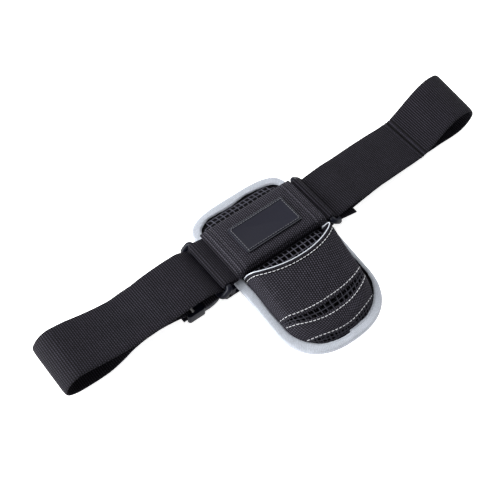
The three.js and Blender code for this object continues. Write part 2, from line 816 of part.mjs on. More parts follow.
// Piping: a thin cord along the edge of the mouth
function pipingBody() {
  const steps = 32;
  const sides = 6;
  const reach = 0.97;
  const middles = Array.from({ length: steps + 1 }, (_, i) => {
    const u = mix(-reach, reach, i / steps);
    const y = seamAt(seams.mouth, u) + pipingRadius + fit;
    const point = pocketPoint(u, y - pipingRadius - fit, clothThickness / 2, clothThickness / 2);
    return point.setY(y);
  });
  const sections = middles.map((middle, i) => {
    const before = middles[Math.max(i - 1, 0)];
    const after = middles[Math.min(i + 1, steps)];
    const forward = new THREE.Vector3().subVectors(after, before).normalize();
    const front = new THREE.Vector3(0, 1, 0).addScaledVector(forward, -forward.y).normalize();
    const up = new THREE.Vector3().crossVectors(forward, front);
    return Array.from({ length: sides }, (_unused, j) => {
      const angle = (j / sides) * 2 * Math.PI;
      return middle.clone()
        .addScaledVector(front, pipingRadius * Math.cos(angle))
        .addScaledVector(up, pipingRadius * Math.sin(angle));
    });
  });
  return loft(sections, false);
}

// Buckle: places of its two halves along X
const femaleMouth = femaleEnd - femaleLength;
const armRoot = femaleMouth - armGap;
const maleEnd = armRoot - maleLength;
const barInset = buckleBar + fit + 1;
const maleBar = maleEnd + barInset;
const femaleBar = femaleEnd - barInset;
const buckleMiddle = buckleHeight / 2;
const slotHalf = buckleWidth / 2 - cheek;
const slotDepth = barInset + buckleFold + webThickness + fit;
const buckleCorner = 2.5;

// Body of one half, with the slot and the round bar that the webbing folds round.
function buckleBody(low, high, slotLow, slotHigh, barPlace) {
  const outline = roundedRectangle(high - low, buckleWidth, buckleCorner);
  const body = plate(outline, 0, buckleHeight).translate((low + high) / 2, buckleShift, 0);
  const slot = block(
    [slotLow, buckleShift - slotHalf, -1],
    [slotHigh, buckleShift + slotHalf, buckleHeight + 1],
  );
  const bar = new THREE.CylinderGeometry(buckleBar, buckleBar, 2 * slotHalf + cheek, 12)
    .translate(barPlace, buckleShift, buckleMiddle);
  return toSolid(body).subtract(toSolid(slot)).add(toSolid(bar));
}

// One springy side arm with its catching head.
const armInset = 3.5;
const headLength = 11;
function armSolid(side) {
  const half = buckleWidth / 2;
  const route = [
    { along: -1, out: half - armInset },
    { along: 0.25 * armGap, out: half - armInset },
    { along: 0.6 * armGap, out: half - 1.3 * armInset },
    { along: armGap + fit, out: half - 2.2 * armInset },
    { along: armDepth + armGap - headLength, out: half - 2.2 * armInset },
  ];
  const curve = new THREE.SplineCurve(route.map(({ along, out }) => (
    new THREE.Vector2(armRoot + along, out)
  )));
  const middles = curve.getPoints(10);
  const edge = (offset) => middles.map((point, i) => {
    const tangent = curve.getTangent(i / (middles.length - 1));
    return new THREE.Vector2(point.x - tangent.y * offset, point.y + tangent.x * offset);
  });
  const inner = edge(-armWidth / 2);
  const outer = edge(armWidth / 2);
  const headEnd = armRoot + armGap + armDepth;
  const headOut = half - fit;
  const last = outer[outer.length - 1];
  const points = [
    ...inner,
    new THREE.Vector2(headEnd, inner[inner.length - 1].y),
    new THREE.Vector2(headEnd, inner[inner.length - 1].y + 2),
    new THREE.Vector2(headEnd - 0.6 * headLength, headOut),
    new THREE.Vector2(last.x, headOut),
    ...outer.reverse(),
  ];
  const shape = new THREE.Shape(points.map(({ x, y }) => new THREE.Vector2(x, side * y)));
  const low = buckleMiddle - armThickness / 2;
  return toSolid(plate(shape, low, low + armThickness).translate(0, buckleShift, 0));
}

function maleBody() {
  const body = buckleBody(maleEnd, armRoot, maleEnd - 1, maleEnd + slotDepth, maleBar);
  const tongueHalf = 4;
  const tongue = block(
    [armRoot - 1, buckleShift - tongueHalf, buckleMiddle - 1.5],
    [armRoot + armGap + 0.6 * armDepth, buckleShift + tongueHalf, buckleMiddle + 1.5],
  );
  return fromSolid(body.add(armSolid(1)).add(armSolid(-1)).add(toSolid(tongue)));
}

function femaleBody() {
  const body = buckleBody(femaleMouth, femaleEnd, femaleEnd - slotDepth, femaleEnd + 1, femaleBar);
  const low = buckleMiddle - armThickness / 2 - fit;
  const high = buckleMiddle + armThickness / 2 + fit;
  const mouthHalf = buckleWidth / 2 - 2.2 * armInset + armWidth / 2 + 2 * fit;
  const cavity = block(
    [femaleMouth - 1, buckleShift - mouthHalf, low],
    [femaleMouth + armDepth + fit, buckleShift + mouthHalf, high],
  );
  const windows = block(
    [femaleMouth + armDepth - headLength - 2, buckleShift - buckleWidth, low],
    [femaleMouth + armDepth + fit, buckleShift + buckleWidth, high],
  );
  return fromSolid(body.subtract(toSolid(cavity)).subtract(toSolid(windows)));
}

// Rows of a strap's table as places, resting on the table where they come down to it.
function strapRows(rows, side, reach, rise) {
  return rows.map(({ out, rise: share, drift, turn, lean }) => ({
    x: side * (outerBar(side) + out * reach),
    y: drift * webWidth,
    z: share * rise,
    turn,
    lean,
  }));
}
function rest(place) {
  return { ...place, z: Math.max(place.z, webThickness / 2) };
}
const ringFold = (side, past) => (
  foldRound(side * outerBar(side), outerHeight, barFold, -side, true, past)
);
const buckleTop = buckleMiddle + buckleFold;
const buckleLow = buckleMiddle - buckleFold;

// Left strap: ring fold, loop, and the fold round the male bar
function leftStrapBody() {
  const fold = ringFold(-1, leftPast);
  const rows = [
    fold[fold.length - 1],
    ...strapRows(leftRun, -1, leftReach, leftRise),
    { x: maleBar, y: buckleShift, z: buckleTop },
  ];
  const places = [
    { x: -outerBar(-1) - leftTail, y: 0, z: outerHeight - barFold },
    ...fold,
    ...smoothRun(rows, 3).slice(1, -1).map(rest),
    ...foldRound(maleBar, buckleMiddle, buckleFold, 1, false, 0, { y: buckleShift }),
    { x: maleBar - maleTail, y: buckleShift, z: buckleLow },
  ];
  return webBody(places, webWidth, webThickness);
}

// Right strap: ring fold with its sewn tail, loop, flat stretch, and the fold round the female bar
function rightStrapBody() {
  const tailDrift = -3;
  const fold = ringFold(1, rightPast);
  const rows = [
    fold[fold.length - 1],
    ...strapRows(rightRun, 1, rightReach, rightRise),
  ];
  const flatStart = { x: femaleBar + foldTail + buckleClimb, y: buckleShift, z: webThickness / 2 };
  const barTop = { x: femaleBar, y: buckleShift, z: buckleTop };
  const places = [
    { x: outerBar(1) + rightTail, y: tailDrift, z: outerHeight - barFold },
    ...fold,
    ...smoothRun(rows, 3).slice(1).map(rest),
    { x: outerBar(1) - ringOverhang, y: buckleShift, z: webThickness / 2 },
    flatStart,
    ...ramp(flatStart, barTop, 8),
    ...foldRound(femaleBar, buckleMiddle, buckleFold, -1, false, 0, { y: buckleShift }),
    { x: femaleBar + foldTail, y: buckleShift, z: buckleLow },
  ];
  return webBody(places, webWidth, webThickness);
}

addPiece('pad', padBody(), 'padding');
addPiece('binding', tapeBody(), 'tape');
addPiece('front_band', bandBody(), 'webbing');
addPiece('band_cover', coverBody(), 'cloth');
addPiece('patch', patchBody(), 'rubber');
addPiece('ring_left', ringBody(-1), 'plastic');
addPiece('ring_right', ringBody(1), 'plastic');
addPiece('pocket_panel', panelBody(), 'cloth');
addPiece('mouth_hem', hemBody(), 'webbing');
addPiece('mouth_piping', pipingBody(), 'piping');
addPiece('pocket_net', pocketNetBody(), 'net');
addPiece('pocket_band', pocketBandBody(), 'cloth');
addPiece('bottom_net', bottomNetBody(), 'net');
addPiece('strap_left', leftStrapBody(), 'webbing');
addPiece('strap_right', rightStrapBody(), 'webbing');
addPiece('buckle_male', maleBody(), 'plastic');
addPiece('buckle_female', femaleBody(), 'plastic');

export default group;
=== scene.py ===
import math

import bmesh
import bpy
import numpy as np
from bpy.props import FloatProperty, FloatVectorProperty, PointerProperty
from mathutils import Matrix, Vector


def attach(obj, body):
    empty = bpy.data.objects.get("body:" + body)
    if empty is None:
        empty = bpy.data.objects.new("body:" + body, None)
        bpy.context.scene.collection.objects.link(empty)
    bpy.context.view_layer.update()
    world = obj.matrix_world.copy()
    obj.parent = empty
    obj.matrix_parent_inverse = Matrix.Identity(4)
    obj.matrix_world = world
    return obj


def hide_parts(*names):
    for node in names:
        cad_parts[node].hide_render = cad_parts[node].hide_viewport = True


bl_info = {
    "name": "Fishing fighting belt",
    "version": (1, 0, 0),
    "blender": (4, 5, 0),
    "location": "View3D > Sidebar > Belt",
    "description": "Builds a padded rod belt with its pocket, rings, straps and buckle",
    "category": "Add Mesh",
}

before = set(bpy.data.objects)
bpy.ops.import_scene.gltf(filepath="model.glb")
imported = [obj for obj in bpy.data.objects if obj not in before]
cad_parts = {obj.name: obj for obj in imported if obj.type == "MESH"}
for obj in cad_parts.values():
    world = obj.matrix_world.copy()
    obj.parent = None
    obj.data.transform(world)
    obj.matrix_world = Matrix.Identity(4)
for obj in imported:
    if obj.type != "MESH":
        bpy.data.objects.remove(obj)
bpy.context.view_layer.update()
MM = 0.001

# Sizes that the solids share, in millimetres
FIT = 0.3
WEB_WIDTH, WEB_THICKNESS = 50.0, 1.8
PAD_WIDTH, PAD_ABOVE, PAD_BELOW = 100.8, 49.0, 120.4
TOP_ROUND, BOTTOM_ROUND = 24.0, 45.0
TOP_FULLNESS, BOTTOM_FULLNESS = 3.6, 2.4
PAD_EDGE, PAD_CROWN, CROWN_SLOPE = 2.6, 8.2, 9.0
TAPE_WIDTH, TAPE_THICKNESS = 7.5, 0.9
BAR_RADIUS, RING_OVERHANG, RING_CORNER = 2.6, 3.6, 3.2
RING_TILT = math.radians(40)
RING_CLEAR = {-1: 7.8, 1: 2.6}
FOLD_SPACE = 0.7
COVER_LENGTH, COVER_WIDTH, COVER_RISE, COVER_EDGE, COVER_SHIFT = 96.0, 51.0, 5.2, 1.4, 1.8
PATCH_LENGTH, PATCH_WIDTH, PATCH_THICKNESS = 57.8, 29.0, 1.4
CLOTH_THICKNESS = 1.1
MOUTH_RISE, SIDE_SWELL, POCKET_LEAN, POCKET_ROUNDNESS = 20.5, 5.5, 3.5, 2.3
HEM_WIDTH, HEM_THICKNESS, HEM_TURN, PIPING_RADIUS = 3.4, 1.7, 1.0, 0.55
SEAM_ALLOWANCE, MOUTH_PUFF = 6.0, 2.4
BUCKLE_HEIGHT, BUCKLE_BAR, BUCKLE_SHIFT = 9.0, 1.7, 3.0
MALE_BAR, FEMALE_BAR = -95.0, -27.0
LEFT_REACH, RIGHT_REACH, LEFT_RISE, RIGHT_RISE = 147.7, 176.6, 27.8, 29.5
LEFT_TAIL, RIGHT_TAIL, FOLD_TAIL, MALE_TAIL = 15.0, 20.0, 13.0, 6.0
BUCKLE_CLIMB = 11.0
CREASE_SHARE, CREASE_PITCH, CREASE_DEPTH, CREASE_WIDTH = 0.625, 3.1, 1.4, 0.8
LEFT_PAST, RIGHT_PAST, TAIL_DRIFT = -22.0, 8.0, -3.0

# Finer forms: lengths in millimetres, places along a half as shares, angles in degrees
TAPE_HIDDEN, HIDDEN_MIDDLE, HIDDEN_LENGTH, HIDDEN_FADE = 4.6, -72.0, 34.0, 12.0
TAPE_SLACK, TAPE_PUCKER, TAPE_TURN, TAPE_ROUND, TAPE_SEAM = 2.4, 0.6, 3.0, 1.6, 1.3
MESH_SWAY, MESH_SINK, MESH_TUCK = 0.35, 0.35, 1.2
MESH_LEFT_OUT = {"foot": -20, "head": 18, "side": 44}
ROLL_ANGLES, ROLL_OUT, ROLL_GAP, LINING_HASTE = (90, 74, 58, 43, 28, 14), 0.2, 0.4, 2.2
COVER_SEAMS = ((0.8, 0.9), (0.9, 1.1))
PATCH_BEAD, PATCH_SEAM, PATCH_ROUND, BUCKLE_ROUND = 0.3, 1.85, 0.25, 0.6
HEM_ROW, HEM_ROUND, STITCH_LIFT = 0.4, 0.45, 0.12
STITCH_ROWS = (("upper", 2.6), ("lower", -2.4), ("bottom", 1.5))
NET_TUCK, NET_LIFT, NET_SPAN, FOOT_NET_REACH = 0.6, 0.2, 100, 0.92
PIPING_SHARE, FLARE, FLARE_PLACE, FLARE_WIDTH = 0.8, 1.6, 0.9, 0.05
YARN_PITCH = 2.0

# Heights and lengths that follow from the sizes above
WEB_LAYER = WEB_THICKNESS + FIT
PAD_LIFT = BUCKLE_HEIGHT + 2 * FIT
TAPE_HEIGHT = PAD_EDGE + 2 * (FIT + TAPE_THICKNESS)
BAR_FOLD = BAR_RADIUS + FIT + WEB_THICKNESS / 2
BUCKLE_FOLD = BUCKLE_BAR + FIT + WEB_THICKNESS / 2
BAR_HEIGHT = PAD_LIFT + TAPE_HEIGHT + FIT + WEB_THICKNESS / 2 + BAR_FOLD
BAND_LOW = PAD_LIFT + PAD_CROWN + FIT + WEB_THICKNESS / 2
BAND_TOP = BAND_LOW + WEB_LAYER
BAR_SPAN = 2 * BAR_FOLD + WEB_THICKNESS + FOLD_SPACE
OUTER_HEIGHT = BAR_HEIGHT - BAR_SPAN * math.sin(RING_TILT)
TAPE_REACH = TAPE_WIDTH + FIT
FACE_EDGE = TAPE_THICKNESS + FIT + PAD_EDGE
COVER_FOOT = BAND_TOP + WEB_THICKNESS / 2 + FIT


def inner_bar(side):
    """Where the ring's inner bar lies, out from the middle; side is -1 left and 1 right."""
    return PAD_WIDTH / 2 + RING_CLEAR[side]


def outer_bar(side):
    return inner_bar(side) + BAR_SPAN * math.cos(RING_TILT)


# Height of the pad's back: share of PAD_BELOW along Y, share of PAD_LIFT up
BACK_SHAPE = np.array([
    (-1, 0), (-0.81, 0.15), (-0.61, 0.46), (-0.41, 0.79), (-0.25, 1), (0.25, 1), (0.41, 1.28),
])

# Seams of the pocket: place on its middle line, at its feet, and how late they bend
SEAMS = {
    "mouth": (-0.392, -0.226, 2.1),
    "upper": (-0.722, -0.63, 2.2),
    "lower": (-0.78, -0.646, 2.2),
    "bottom": (-0.912, -0.83, 2.2),
}
POCKET_FOOT = -0.97 * PAD_BELOW
MOUTH_MIDDLE = SEAMS["mouth"][0] * PAD_BELOW

# Straps: out and rise as shares of reach and rise, drift of the webbing's width, turn and lean
LEFT_RUN = np.array([
    (0.06, 0.79, 0, 0, 0), (0.114, 0.805, 0, 0, 0), (0.18, 0.795, 0, 0, 0),
    (0.295, 0.745, 0, 0, -1), (0.4, 0.7, -0.01, 0, -4), (0.503, 0.7, -0.02, 0, -5),
    (0.61, 0.765, -0.02, 0, -4), (0.705, 0.825, -0.01, 0, -2), (0.79, 0.91, 0, 0, 0),
    (0.86, 0.98, 0, 0, 0), (0.91, 1, 0, 0, 0), (0.958, 0.89, 0, 0, 0), (0.988, 0.71, 0, 0, 0),
    (1, 0.5, 0.01, 0, 0), (0.984, 0.29, 0.02, 0, 0), (0.942, 0.135, 0.03, 0, 0),
    (0.88, 0.055, 0.04, 0, 0), (0.805, 0.033, 0.04, 0, 0), (0.725, 0.06, 0.04, 0, 0),
    (0.644, 0.2, 0.045, 0, 0), (0.564, 0.38, 0.05, 0, -2), (0.483, 0.44, 0.06, 0, -3),
    (0.396, 0.425, 0.075, 0, -2), (0.315, 0.36, 0.085, 0, 0),
])
RIGHT_RUN = np.array([
    (0.126, 0.61, 0.02, -2, 0), (0.223, 0.53, 0.05, -4, 0), (0.349, 0.45, 0.085, -4, 2),
    (0.465, 0.38, 0.115, -4, 2), (0.582, 0.3, 0.145, -2, 1), (0.64, 0.33, 0.16, 0, 1),
    (0.705, 0.53, 0.175, 0, 1), (0.771, 0.78, 0.19, 1, 2), (0.843, 0.96, 0.21, 2, 4),
    (0.901, 1, 0.225, 3, 5), (0.96, 0.92, 0.24, 3, 5), (0.992, 0.74, 0.25, 3, 4),
    (1, 0.5, 0.25, 3, 3), (0.979, 0.27, 0.25, 3, 2), (0.935, 0.11, 0.245, 2, 1),
    (0.872, 0.04, 0.245, 1, 0), (0.795, 0.05, 0.245, 0, 0), (0.708, 0.05, 0.24, -1, 0),
    (0.591, 0.05, 0.235, -2, 0), (0.456, 0.04, 0.22, -2, 0), (0.32, 0.034, 0.195, -2, 0),
    (0.126, 0.034, 0.13, -2, 0),
])


def size(name, default, text):
    """A length that the user can change."""
    return FloatProperty(
        name=name, description=text, default=default * MM, unit="LENGTH", subtype="DISTANCE",
        min=0.0, precision=5,
    )


def colour(name, value, text):
    """A colour that the user can change."""
    return FloatVectorProperty(
        name=name, description=text, default=value, subtype="COLOR", size=3, min=0, max=1,
    )


class BeltSizes(bpy.types.PropertyGroup):
    """Sizes of the belt's finer forms."""

    rib_pitch: size("Webbing rib pitch", 2.0, "Distance between the ribs of the webbing")
    rib_height: size("Webbing rib height", 0.28, "How far a rib of the webbing stands out")
    cloth_pitch: size("Cloth rib pitch", 2.2, "Distance between the ribs of the pocket's cloth")
    cover_pitch: size("Cover rib pitch", 1.9, "Distance between the ribs of the cover's cloth")
    cloth_height: size("Cloth rib height", 0.2, "How far a rib of the cloth stands out")
    mesh_pitch: size("Spacer mesh pitch", 5.0, "Width of one cell in the pad's spacer mesh")
    mesh_strand: size("Spacer mesh strand", 0.55, "Radius of a strand of the spacer mesh")
    net_pitch: size("Net pitch", 3.6, "Width of one cell in the pocket's nets")
    net_strand: size("Net strand", 0.45, "Radius of a strand of the pocket's nets")
    stitch_length: size("Stitch length", 2.3, "Length of one stitch")
    stitch_pitch: size("Stitch pitch", 3.5, "Distance from one stitch to the next")
    stitch_thread: size("Thread radius", 0.27, "Radius of the sewing thread")


class BeltColours(bpy.types.PropertyGroup):
    """Colours of the belt's materials."""

    webbing: colour("Webbing", (0.0045, 0.0042, 0.0058), "Straps, front band and hem")
    cloth: colour("Cloth", (0.0096, 0.0091, 0.0120), "Ribbed cloth of the pocket and cover")
    padding: colour("Padding", (0.002, 0.002, 0.0026), "Foam cloth under the mesh")
    mesh: colour("Mesh", (0.070, 0.070, 0.090), "Strands of the spacer mesh and the nets")
    tape: colour("Tape", (0.37, 0.395, 0.445), "Binding tape round the pad")
    thread: colour("Thread", (0.66, 0.67, 0.70), "Contrast stitches")
    piping: colour("Piping", (0.66, 0.70, 0.77), "Cord along the pocket's mouth")
    rubber: colour("Rubber", (0.0082, 0.0084, 0.0155), "Patch")
    plastic: colour("Plastic", (0.0035, 0.0042, 0.0095), "Buckle and rings")
    floor: colour("Floor", (0.93, 0.93, 0.93), "Ground under the belt")


# Shape of the pad and pocket
def ease(t):
    s = np.clip(t, 0, 1)
    return s * s * (3 - 2 * s)


def run_lengths(points):
    """Length along a path up to each of its points."""
    steps = np.linalg.norm(np.diff(points, axis=0), axis=1)
    return np.concatenate([[0], np.cumsum(steps)])


def spline(points, t):
    """Catmull-Rom through evenly timed points, t from 0 to 1."""
    points = np.asarray(points, float)
    last = len(points) - 1
    p = np.clip(np.asarray(t, float) * last, 0, last)
    i = np.minimum(p.astype(int), last - 1)
    w = (p - i)[..., None]
    a, b = points[np.maximum(i - 1, 0)], points[i]
    c, d = points[i + 1], points[np.minimum(i + 2, last)]
    v0, v1 = (c - a) / 2, (d - b) / 2
    return (2 * b - 2 * c + v0 + v1) * w**3 + (3 * c - 3 * b - 2 * v0 - v1) * w**2 + v0 * w + b


BACK_CURVE = spline(BACK_SHAPE * (PAD_BELOW, PAD_LIFT), np.linspace(0, 1, 200))


def back_height(y):
    return np.maximum(np.interp(y, BACK_CURVE[:, 0], BACK_CURVE[:, 1]), 0)


def past_ends(y, inset):
    """How far y lies in the rounded top and in the rounded foot, as shares of each."""
    above = np.maximum(y - (PAD_ABOVE - TOP_ROUND), 0) / (TOP_ROUND - inset)
    below = np.maximum(-PAD_BELOW + BOTTOM_ROUND - y, 0) / (BOTTOM_ROUND - inset)
    return above, below


def outline_value(x, y, inset):
    """Below 1 inside the pad's outline set in by a distance, and above 1 outside it."""
    above, below = past_ends(y, inset)
    side = np.abs(x) / (PAD_WIDTH / 2 - inset)
    upper = side**TOP_FULLNESS + above**TOP_FULLNESS
    lower = side**BOTTOM_FULLNESS + below**BOTTOM_FULLNESS
    return np.where(above > 0, upper, np.where(below > 0, lower, side))


def inside_distance(x, y):
    low = np.zeros(np.broadcast(x, y).shape)
    high = np.full(low.shape, TOP_ROUND - FIT)
    for _ in range(18):
        middle = (low + high) / 2
        inside = outline_value(x, y, middle) < 1
        low = np.where(inside, middle, low)
        high = np.where(inside, high, middle)
    return low


def pad_face(x, y):
    """Height of the pad's front face."""
    rise = ease((inside_distance(x, y) - TAPE_REACH) / CROWN_SLOPE)
    return back_height(y) + FACE_EDGE + (PAD_CROWN - FACE_EDGE) * rise


def half_width(y, inset):
    above, below = past_ends(y, inset)
    share = np.minimum(np.where(above > 0, above, below), 1)
    power = np.where(above > 0, TOP_FULLNESS, BOTTOM_FULLNESS)
    return (PAD_WIDTH / 2 - inset) * np.maximum(1 - share**power, 0) ** (1 / power)


def outline_loop(inset, end_steps=40, side_steps=40):
    """The pad's outline set in by a distance, as points all the way round."""
    half = PAD_WIDTH / 2 - inset
    angle = np.linspace(0, math.pi / 2, end_steps + 1)
    foot_x = half * np.sin(angle) ** (2 / BOTTOM_FULLNESS)
    drop = np.maximum(np.cos(angle), 0) ** (2 / BOTTOM_FULLNESS)
    foot_y = -PAD_BELOW + BOTTOM_ROUND - (BOTTOM_ROUND - inset) * drop
    side_y = np.linspace(-PAD_BELOW + BOTTOM_ROUND, PAD_ABOVE - TOP_ROUND, side_steps + 1)[1:-1]
    head_x = half * np.maximum(np.cos(angle), 0) ** (2 / TOP_FULLNESS)
    head_y = PAD_ABOVE - TOP_ROUND + (TOP_ROUND - inset) * np.sin(angle) ** (2 / TOP_FULLNESS)
    x = np.concatenate([foot_x, np.full(len(side_y), half), head_x])
    y = np.concatenate([foot_y, side_y, head_y])
    x[0] = x[-1] = 0
    right = np.stack([x, y], 1)
    left = right[1:-1][::-1] * (-1, 1)
    return np.concatenate([right, left])


def even_loop(inset, count):
    """The outline with points at even distances, starting at the foot."""
    loop = outline_loop(inset)
    closed = np.concatenate([loop, loop[:1]])
    run = run_lengths(closed)
    at = np.linspace(0, run[-1], count + 1)[:-1]
    return np.stack([np.interp(at, run, closed[:, k]) for k in (0, 1)], 1)


def bulge(y):
    return MOUTH_RISE * np.maximum((y - POCKET_FOOT) / (MOUTH_MIDDLE - POCKET_FOOT), 0)


def seam_at(name, u):
    middle, foot, bend = SEAMS[name]
    lean = np.abs(np.sin(u * math.pi / 2))
    return PAD_BELOW * (middle + (foot - middle) * lean**bend)


def foot_at(u, y, inset=0.0):
    sine = np.sin(u * math.pi / 2)
    return half_width(y, TAPE_REACH + inset) * np.sign(sine) * np.abs(sine) ** (2 / POCKET_ROUNDNESS)


def pocket_point(u, y, inset=0.0, lift=0.0):
    """A point of the pocket's cloth: u from -1 to 1 across, y down the pad."""
    foot = foot_at(u, y, inset)
    fullness = bulge(y) / MOUTH_RISE
    across = np.cos(u * math.pi / 2)
    swell = SIDE_SWELL * np.sign(u) * np.sin(u * math.pi) ** 2
    x = foot + fullness * (swell + POCKET_LEAN * across**2)
    z = pad_face(foot, y) + FIT + (bulge(y) + lift) * across
    return np.stack(np.broadcast_arrays(x, y, z), -1)


# Runs of the webbing
def fold_round(x, z, radius, side, upwards, past=0.0, y=0.0, steps=16):
    """Half a turn round a bar, and past it by some degrees."""
    sweep = math.pi + math.radians(past)
    turn = (math.pi / 2 - np.linspace(0, 1, steps + 1) * sweep) * (-1 if upwards else 1)
    rows = np.zeros((steps + 1, 5))
    rows[:, 0] = x + side * radius * np.cos(turn)
    rows[:, 1] = y
    rows[:, 2] = z + radius * np.sin(turn)
    return rows


def ramp(start, end, steps=8):
    """An even change of height between two places, without its ends."""
    t = np.arange(1, steps) / steps
    start, end = np.array(start, float), np.array(end, float)
    rows = np.zeros((steps - 1, 5))
    rows[:, :2] = start[:2] + (end[:2] - start[:2]) * t[:, None]
    rows[:, 2] = start[2] + (end[2] - start[2]) * ease(t)
    return rows


def smooth_run(rows, steps=6):
    """Centripetal curve through the places; turn and lean change evenly with them."""
    rows = np.asarray(rows, float)
    path = rows[:, :3]
    path = np.concatenate([[2 * path[0] - path[1]], path, [2 * path[-1] - path[-2]]])
    out = []
    count = steps * (len(rows) - 1)
    for k in range(count + 1):
        p = k / count * (len(rows) - 1)
        i = min(int(p), len(rows) - 2)
        w = p - i
        a, b, c, d = path[i:i + 4]
        s0, s1, s2 = (max(np.linalg.norm(q - r) ** 0.5, 1e-4) for q, r in ((b, a), (c, b), (d, c)))
        t1 = ((b - a) / s0 - (c - a) / (s0 + s1) + (c - b) / s1) * s1
        t2 = ((c - b) / s1 - (d - b) / (s1 + s2) + (d - c) / s2) * s1
        spot = b + t1 * w + (3 * (c - b) - 2 * t1 - t2) * w**2 + (2 * (b - c) + t1 + t2) * w**3
        out.append([*spot, *(rows[i, 3:] * (1 - w) + rows[i + 1, 3:] * w)])
    return np.array(out)


def strap_rows(run, side, reach, rise):
    """A strap's table of shares as places in millimetres."""
    rows = np.array(run, float)
    rows[:, 0] = side * (outer_bar(side) + run[:, 0] * reach)
    rows[:, 1] = run[:, 2] * WEB_WIDTH
    rows[:, 2] = run[:, 1] * rise
    rows[:, 3:] = run[:, 3:]
    return rows


def rested(rows):
    """Keeps the webbing from sinking into the ground."""
    rows[:, 2] = np.maximum(rows[:, 2], WEB_THICKNESS / 2)
    return rows


def row(x, y, z):
    return np.array([[x, y, z, 0, 0]], float)


def left_places():
    fold = fold_round(-outer_bar(-1), OUTER_HEIGHT, BAR_FOLD, 1, True, LEFT_PAST)
    middle = BUCKLE_HEIGHT / 2
    rows = np.concatenate([
        fold[-1:],
        strap_rows(LEFT_RUN, -1, LEFT_REACH, LEFT_RISE),
        row(MALE_BAR, BUCKLE_SHIFT, middle + BUCKLE_FOLD),
    ])
    return np.concatenate([
        row(-outer_bar(-1) - LEFT_TAIL, 0, OUTER_HEIGHT - BAR_FOLD),
        fold,
        rested(smooth_run(rows)[1:-1]),
        fold_round(MALE_BAR, middle, BUCKLE_FOLD, 1, False, 0, BUCKLE_SHIFT),
        row(MALE_BAR - MALE_TAIL, BUCKLE_SHIFT, middle - BUCKLE_FOLD),
    ])


def right_places():
    fold = fold_round(outer_bar(1), OUTER_HEIGHT, BAR_FOLD, -1, True, RIGHT_PAST)
    middle = BUCKLE_HEIGHT / 2
    rows = np.concatenate([fold[-1:], strap_rows(RIGHT_RUN, 1, RIGHT_REACH, RIGHT_RISE)])
    flat = (FEMALE_BAR + FOLD_TAIL + BUCKLE_CLIMB, BUCKLE_SHIFT, WEB_THICKNESS / 2)
    top = (FEMALE_BAR, BUCKLE_SHIFT, middle + BUCKLE_FOLD)
    return np.concatenate([
        row(outer_bar(1) + RIGHT_TAIL, TAIL_DRIFT, OUTER_HEIGHT - BAR_FOLD),
        fold,
        rested(smooth_run(rows)[1:]),
        row(outer_bar(1) - RING_OVERHANG, BUCKLE_SHIFT, WEB_THICKNESS / 2),
        row(*flat),
        ramp(flat, top, 12),
        fold_round(FEMALE_BAR, middle, BUCKLE_FOLD, -1, False, 0, BUCKLE_SHIFT),
        row(FEMALE_BAR + FOLD_TAIL, BUCKLE_SHIFT, middle - BUCKLE_FOLD),
    ])


def band_places():
    """The front band: one webbing round the inner bar of both rings."""
    flat = PAD_WIDTH / 2 - TAPE_REACH - CROWN_SLOPE + 2
    top = COVER_LENGTH / 2
    halves = []
    for side in (-1, 1):
        bar = inner_bar(side)
        halves.append(np.concatenate([
            row(side * 2, 0, BAND_LOW),
            row(side * flat, 0, BAND_LOW),
            ramp((side * flat, 0, BAND_LOW), (side * bar, 0, BAR_HEIGHT - BAR_FOLD)),
            fold_round(bar * side, BAR_HEIGHT, BAR_FOLD, side, True),
            ramp((side * bar, 0, BAR_HEIGHT + BAR_FOLD), (side * top, 0, BAND_TOP)),
            row(side * top, 0, BAND_TOP),
        ]))
    return np.concatenate([halves[0], halves[1][::-1]])


def evenly(places, step):
    """The same run with places at even distances."""
    run = run_lengths(places[:, :3])
    count = max(int(run[-1] / step), 2)
    at = np.linspace(0, run[-1], count + 1)
    return np.stack([np.interp(at, run, places[:, k]) for k in range(5)], 1), at


def softened(values, times):
    """Evens out the corners of a run, its ends kept."""
    for _ in range(times):
        values[1:-1] = (values[:-2] + 2 * values[1:-1] + values[2:]) / 4
    return values


# Meshes
def linked(name, data):
    """A new object in the scene."""
    obj = bpy.data.objects.new(name, data)
    bpy.context.scene.collection.objects.link(obj)
    return obj


def evaluated_mesh(obj):
    """The object's mesh with its modifiers worked in."""
    graph = bpy.context.evaluated_depsgraph_get()
    return bpy.data.meshes.new_from_object(obj.evaluated_get(graph))


def mesh_object(name, points, faces, uv=None, marks=None):
    """A mesh from points in millimetres; uv holds a list of (u, v) per face corner in metres."""
    mesh = bpy.data.meshes.new(name)
    mesh.from_pydata((np.asarray(points) * MM).tolist(), [], [list(f) for f in faces])
    if uv is not None:
        layer = mesh.uv_layers.new(name="Cloth")
        layer.data.foreach_set("uv", np.asarray(uv, dtype=np.float32).ravel())
    for key, values in (marks or {}).items():
        mark = mesh.attributes.new(key, "FLOAT", "POINT")
        mark.data.foreach_set("value", np.asarray(values, dtype=np.float32))
    mesh.validate()
    mesh.update()
    obj = linked(name, mesh)
    outwards(obj)
    obj.data.shade_smooth()
    return obj


def outwards(obj):
    """Turns all faces of a closed shape outwards."""
    shape = bmesh.new()
    shape.from_mesh(obj.data)
    bmesh.ops.recalc_face_normals(shape, faces=shape.faces)
    if shape.calc_volume(signed=True) < 0:
        bmesh.ops.reverse_faces(shape, faces=shape.faces)
    shape.to_mesh(obj.data)
    shape.free()


def facing_up(obj):
    """Turns an open surface so that its faces look up."""
    if sum(face.normal.z for face in obj.data.polygons) < 0:
        obj.data.flip_normals()
    return obj


def grid_quads(rows, columns):
    """Quads between the points of a grid, row by row."""
    corners = [j * columns + i for j in range(rows - 1) for i in range(columns - 1)]
    return [(a, a + 1, a + columns + 1, a + columns) for a in corners]


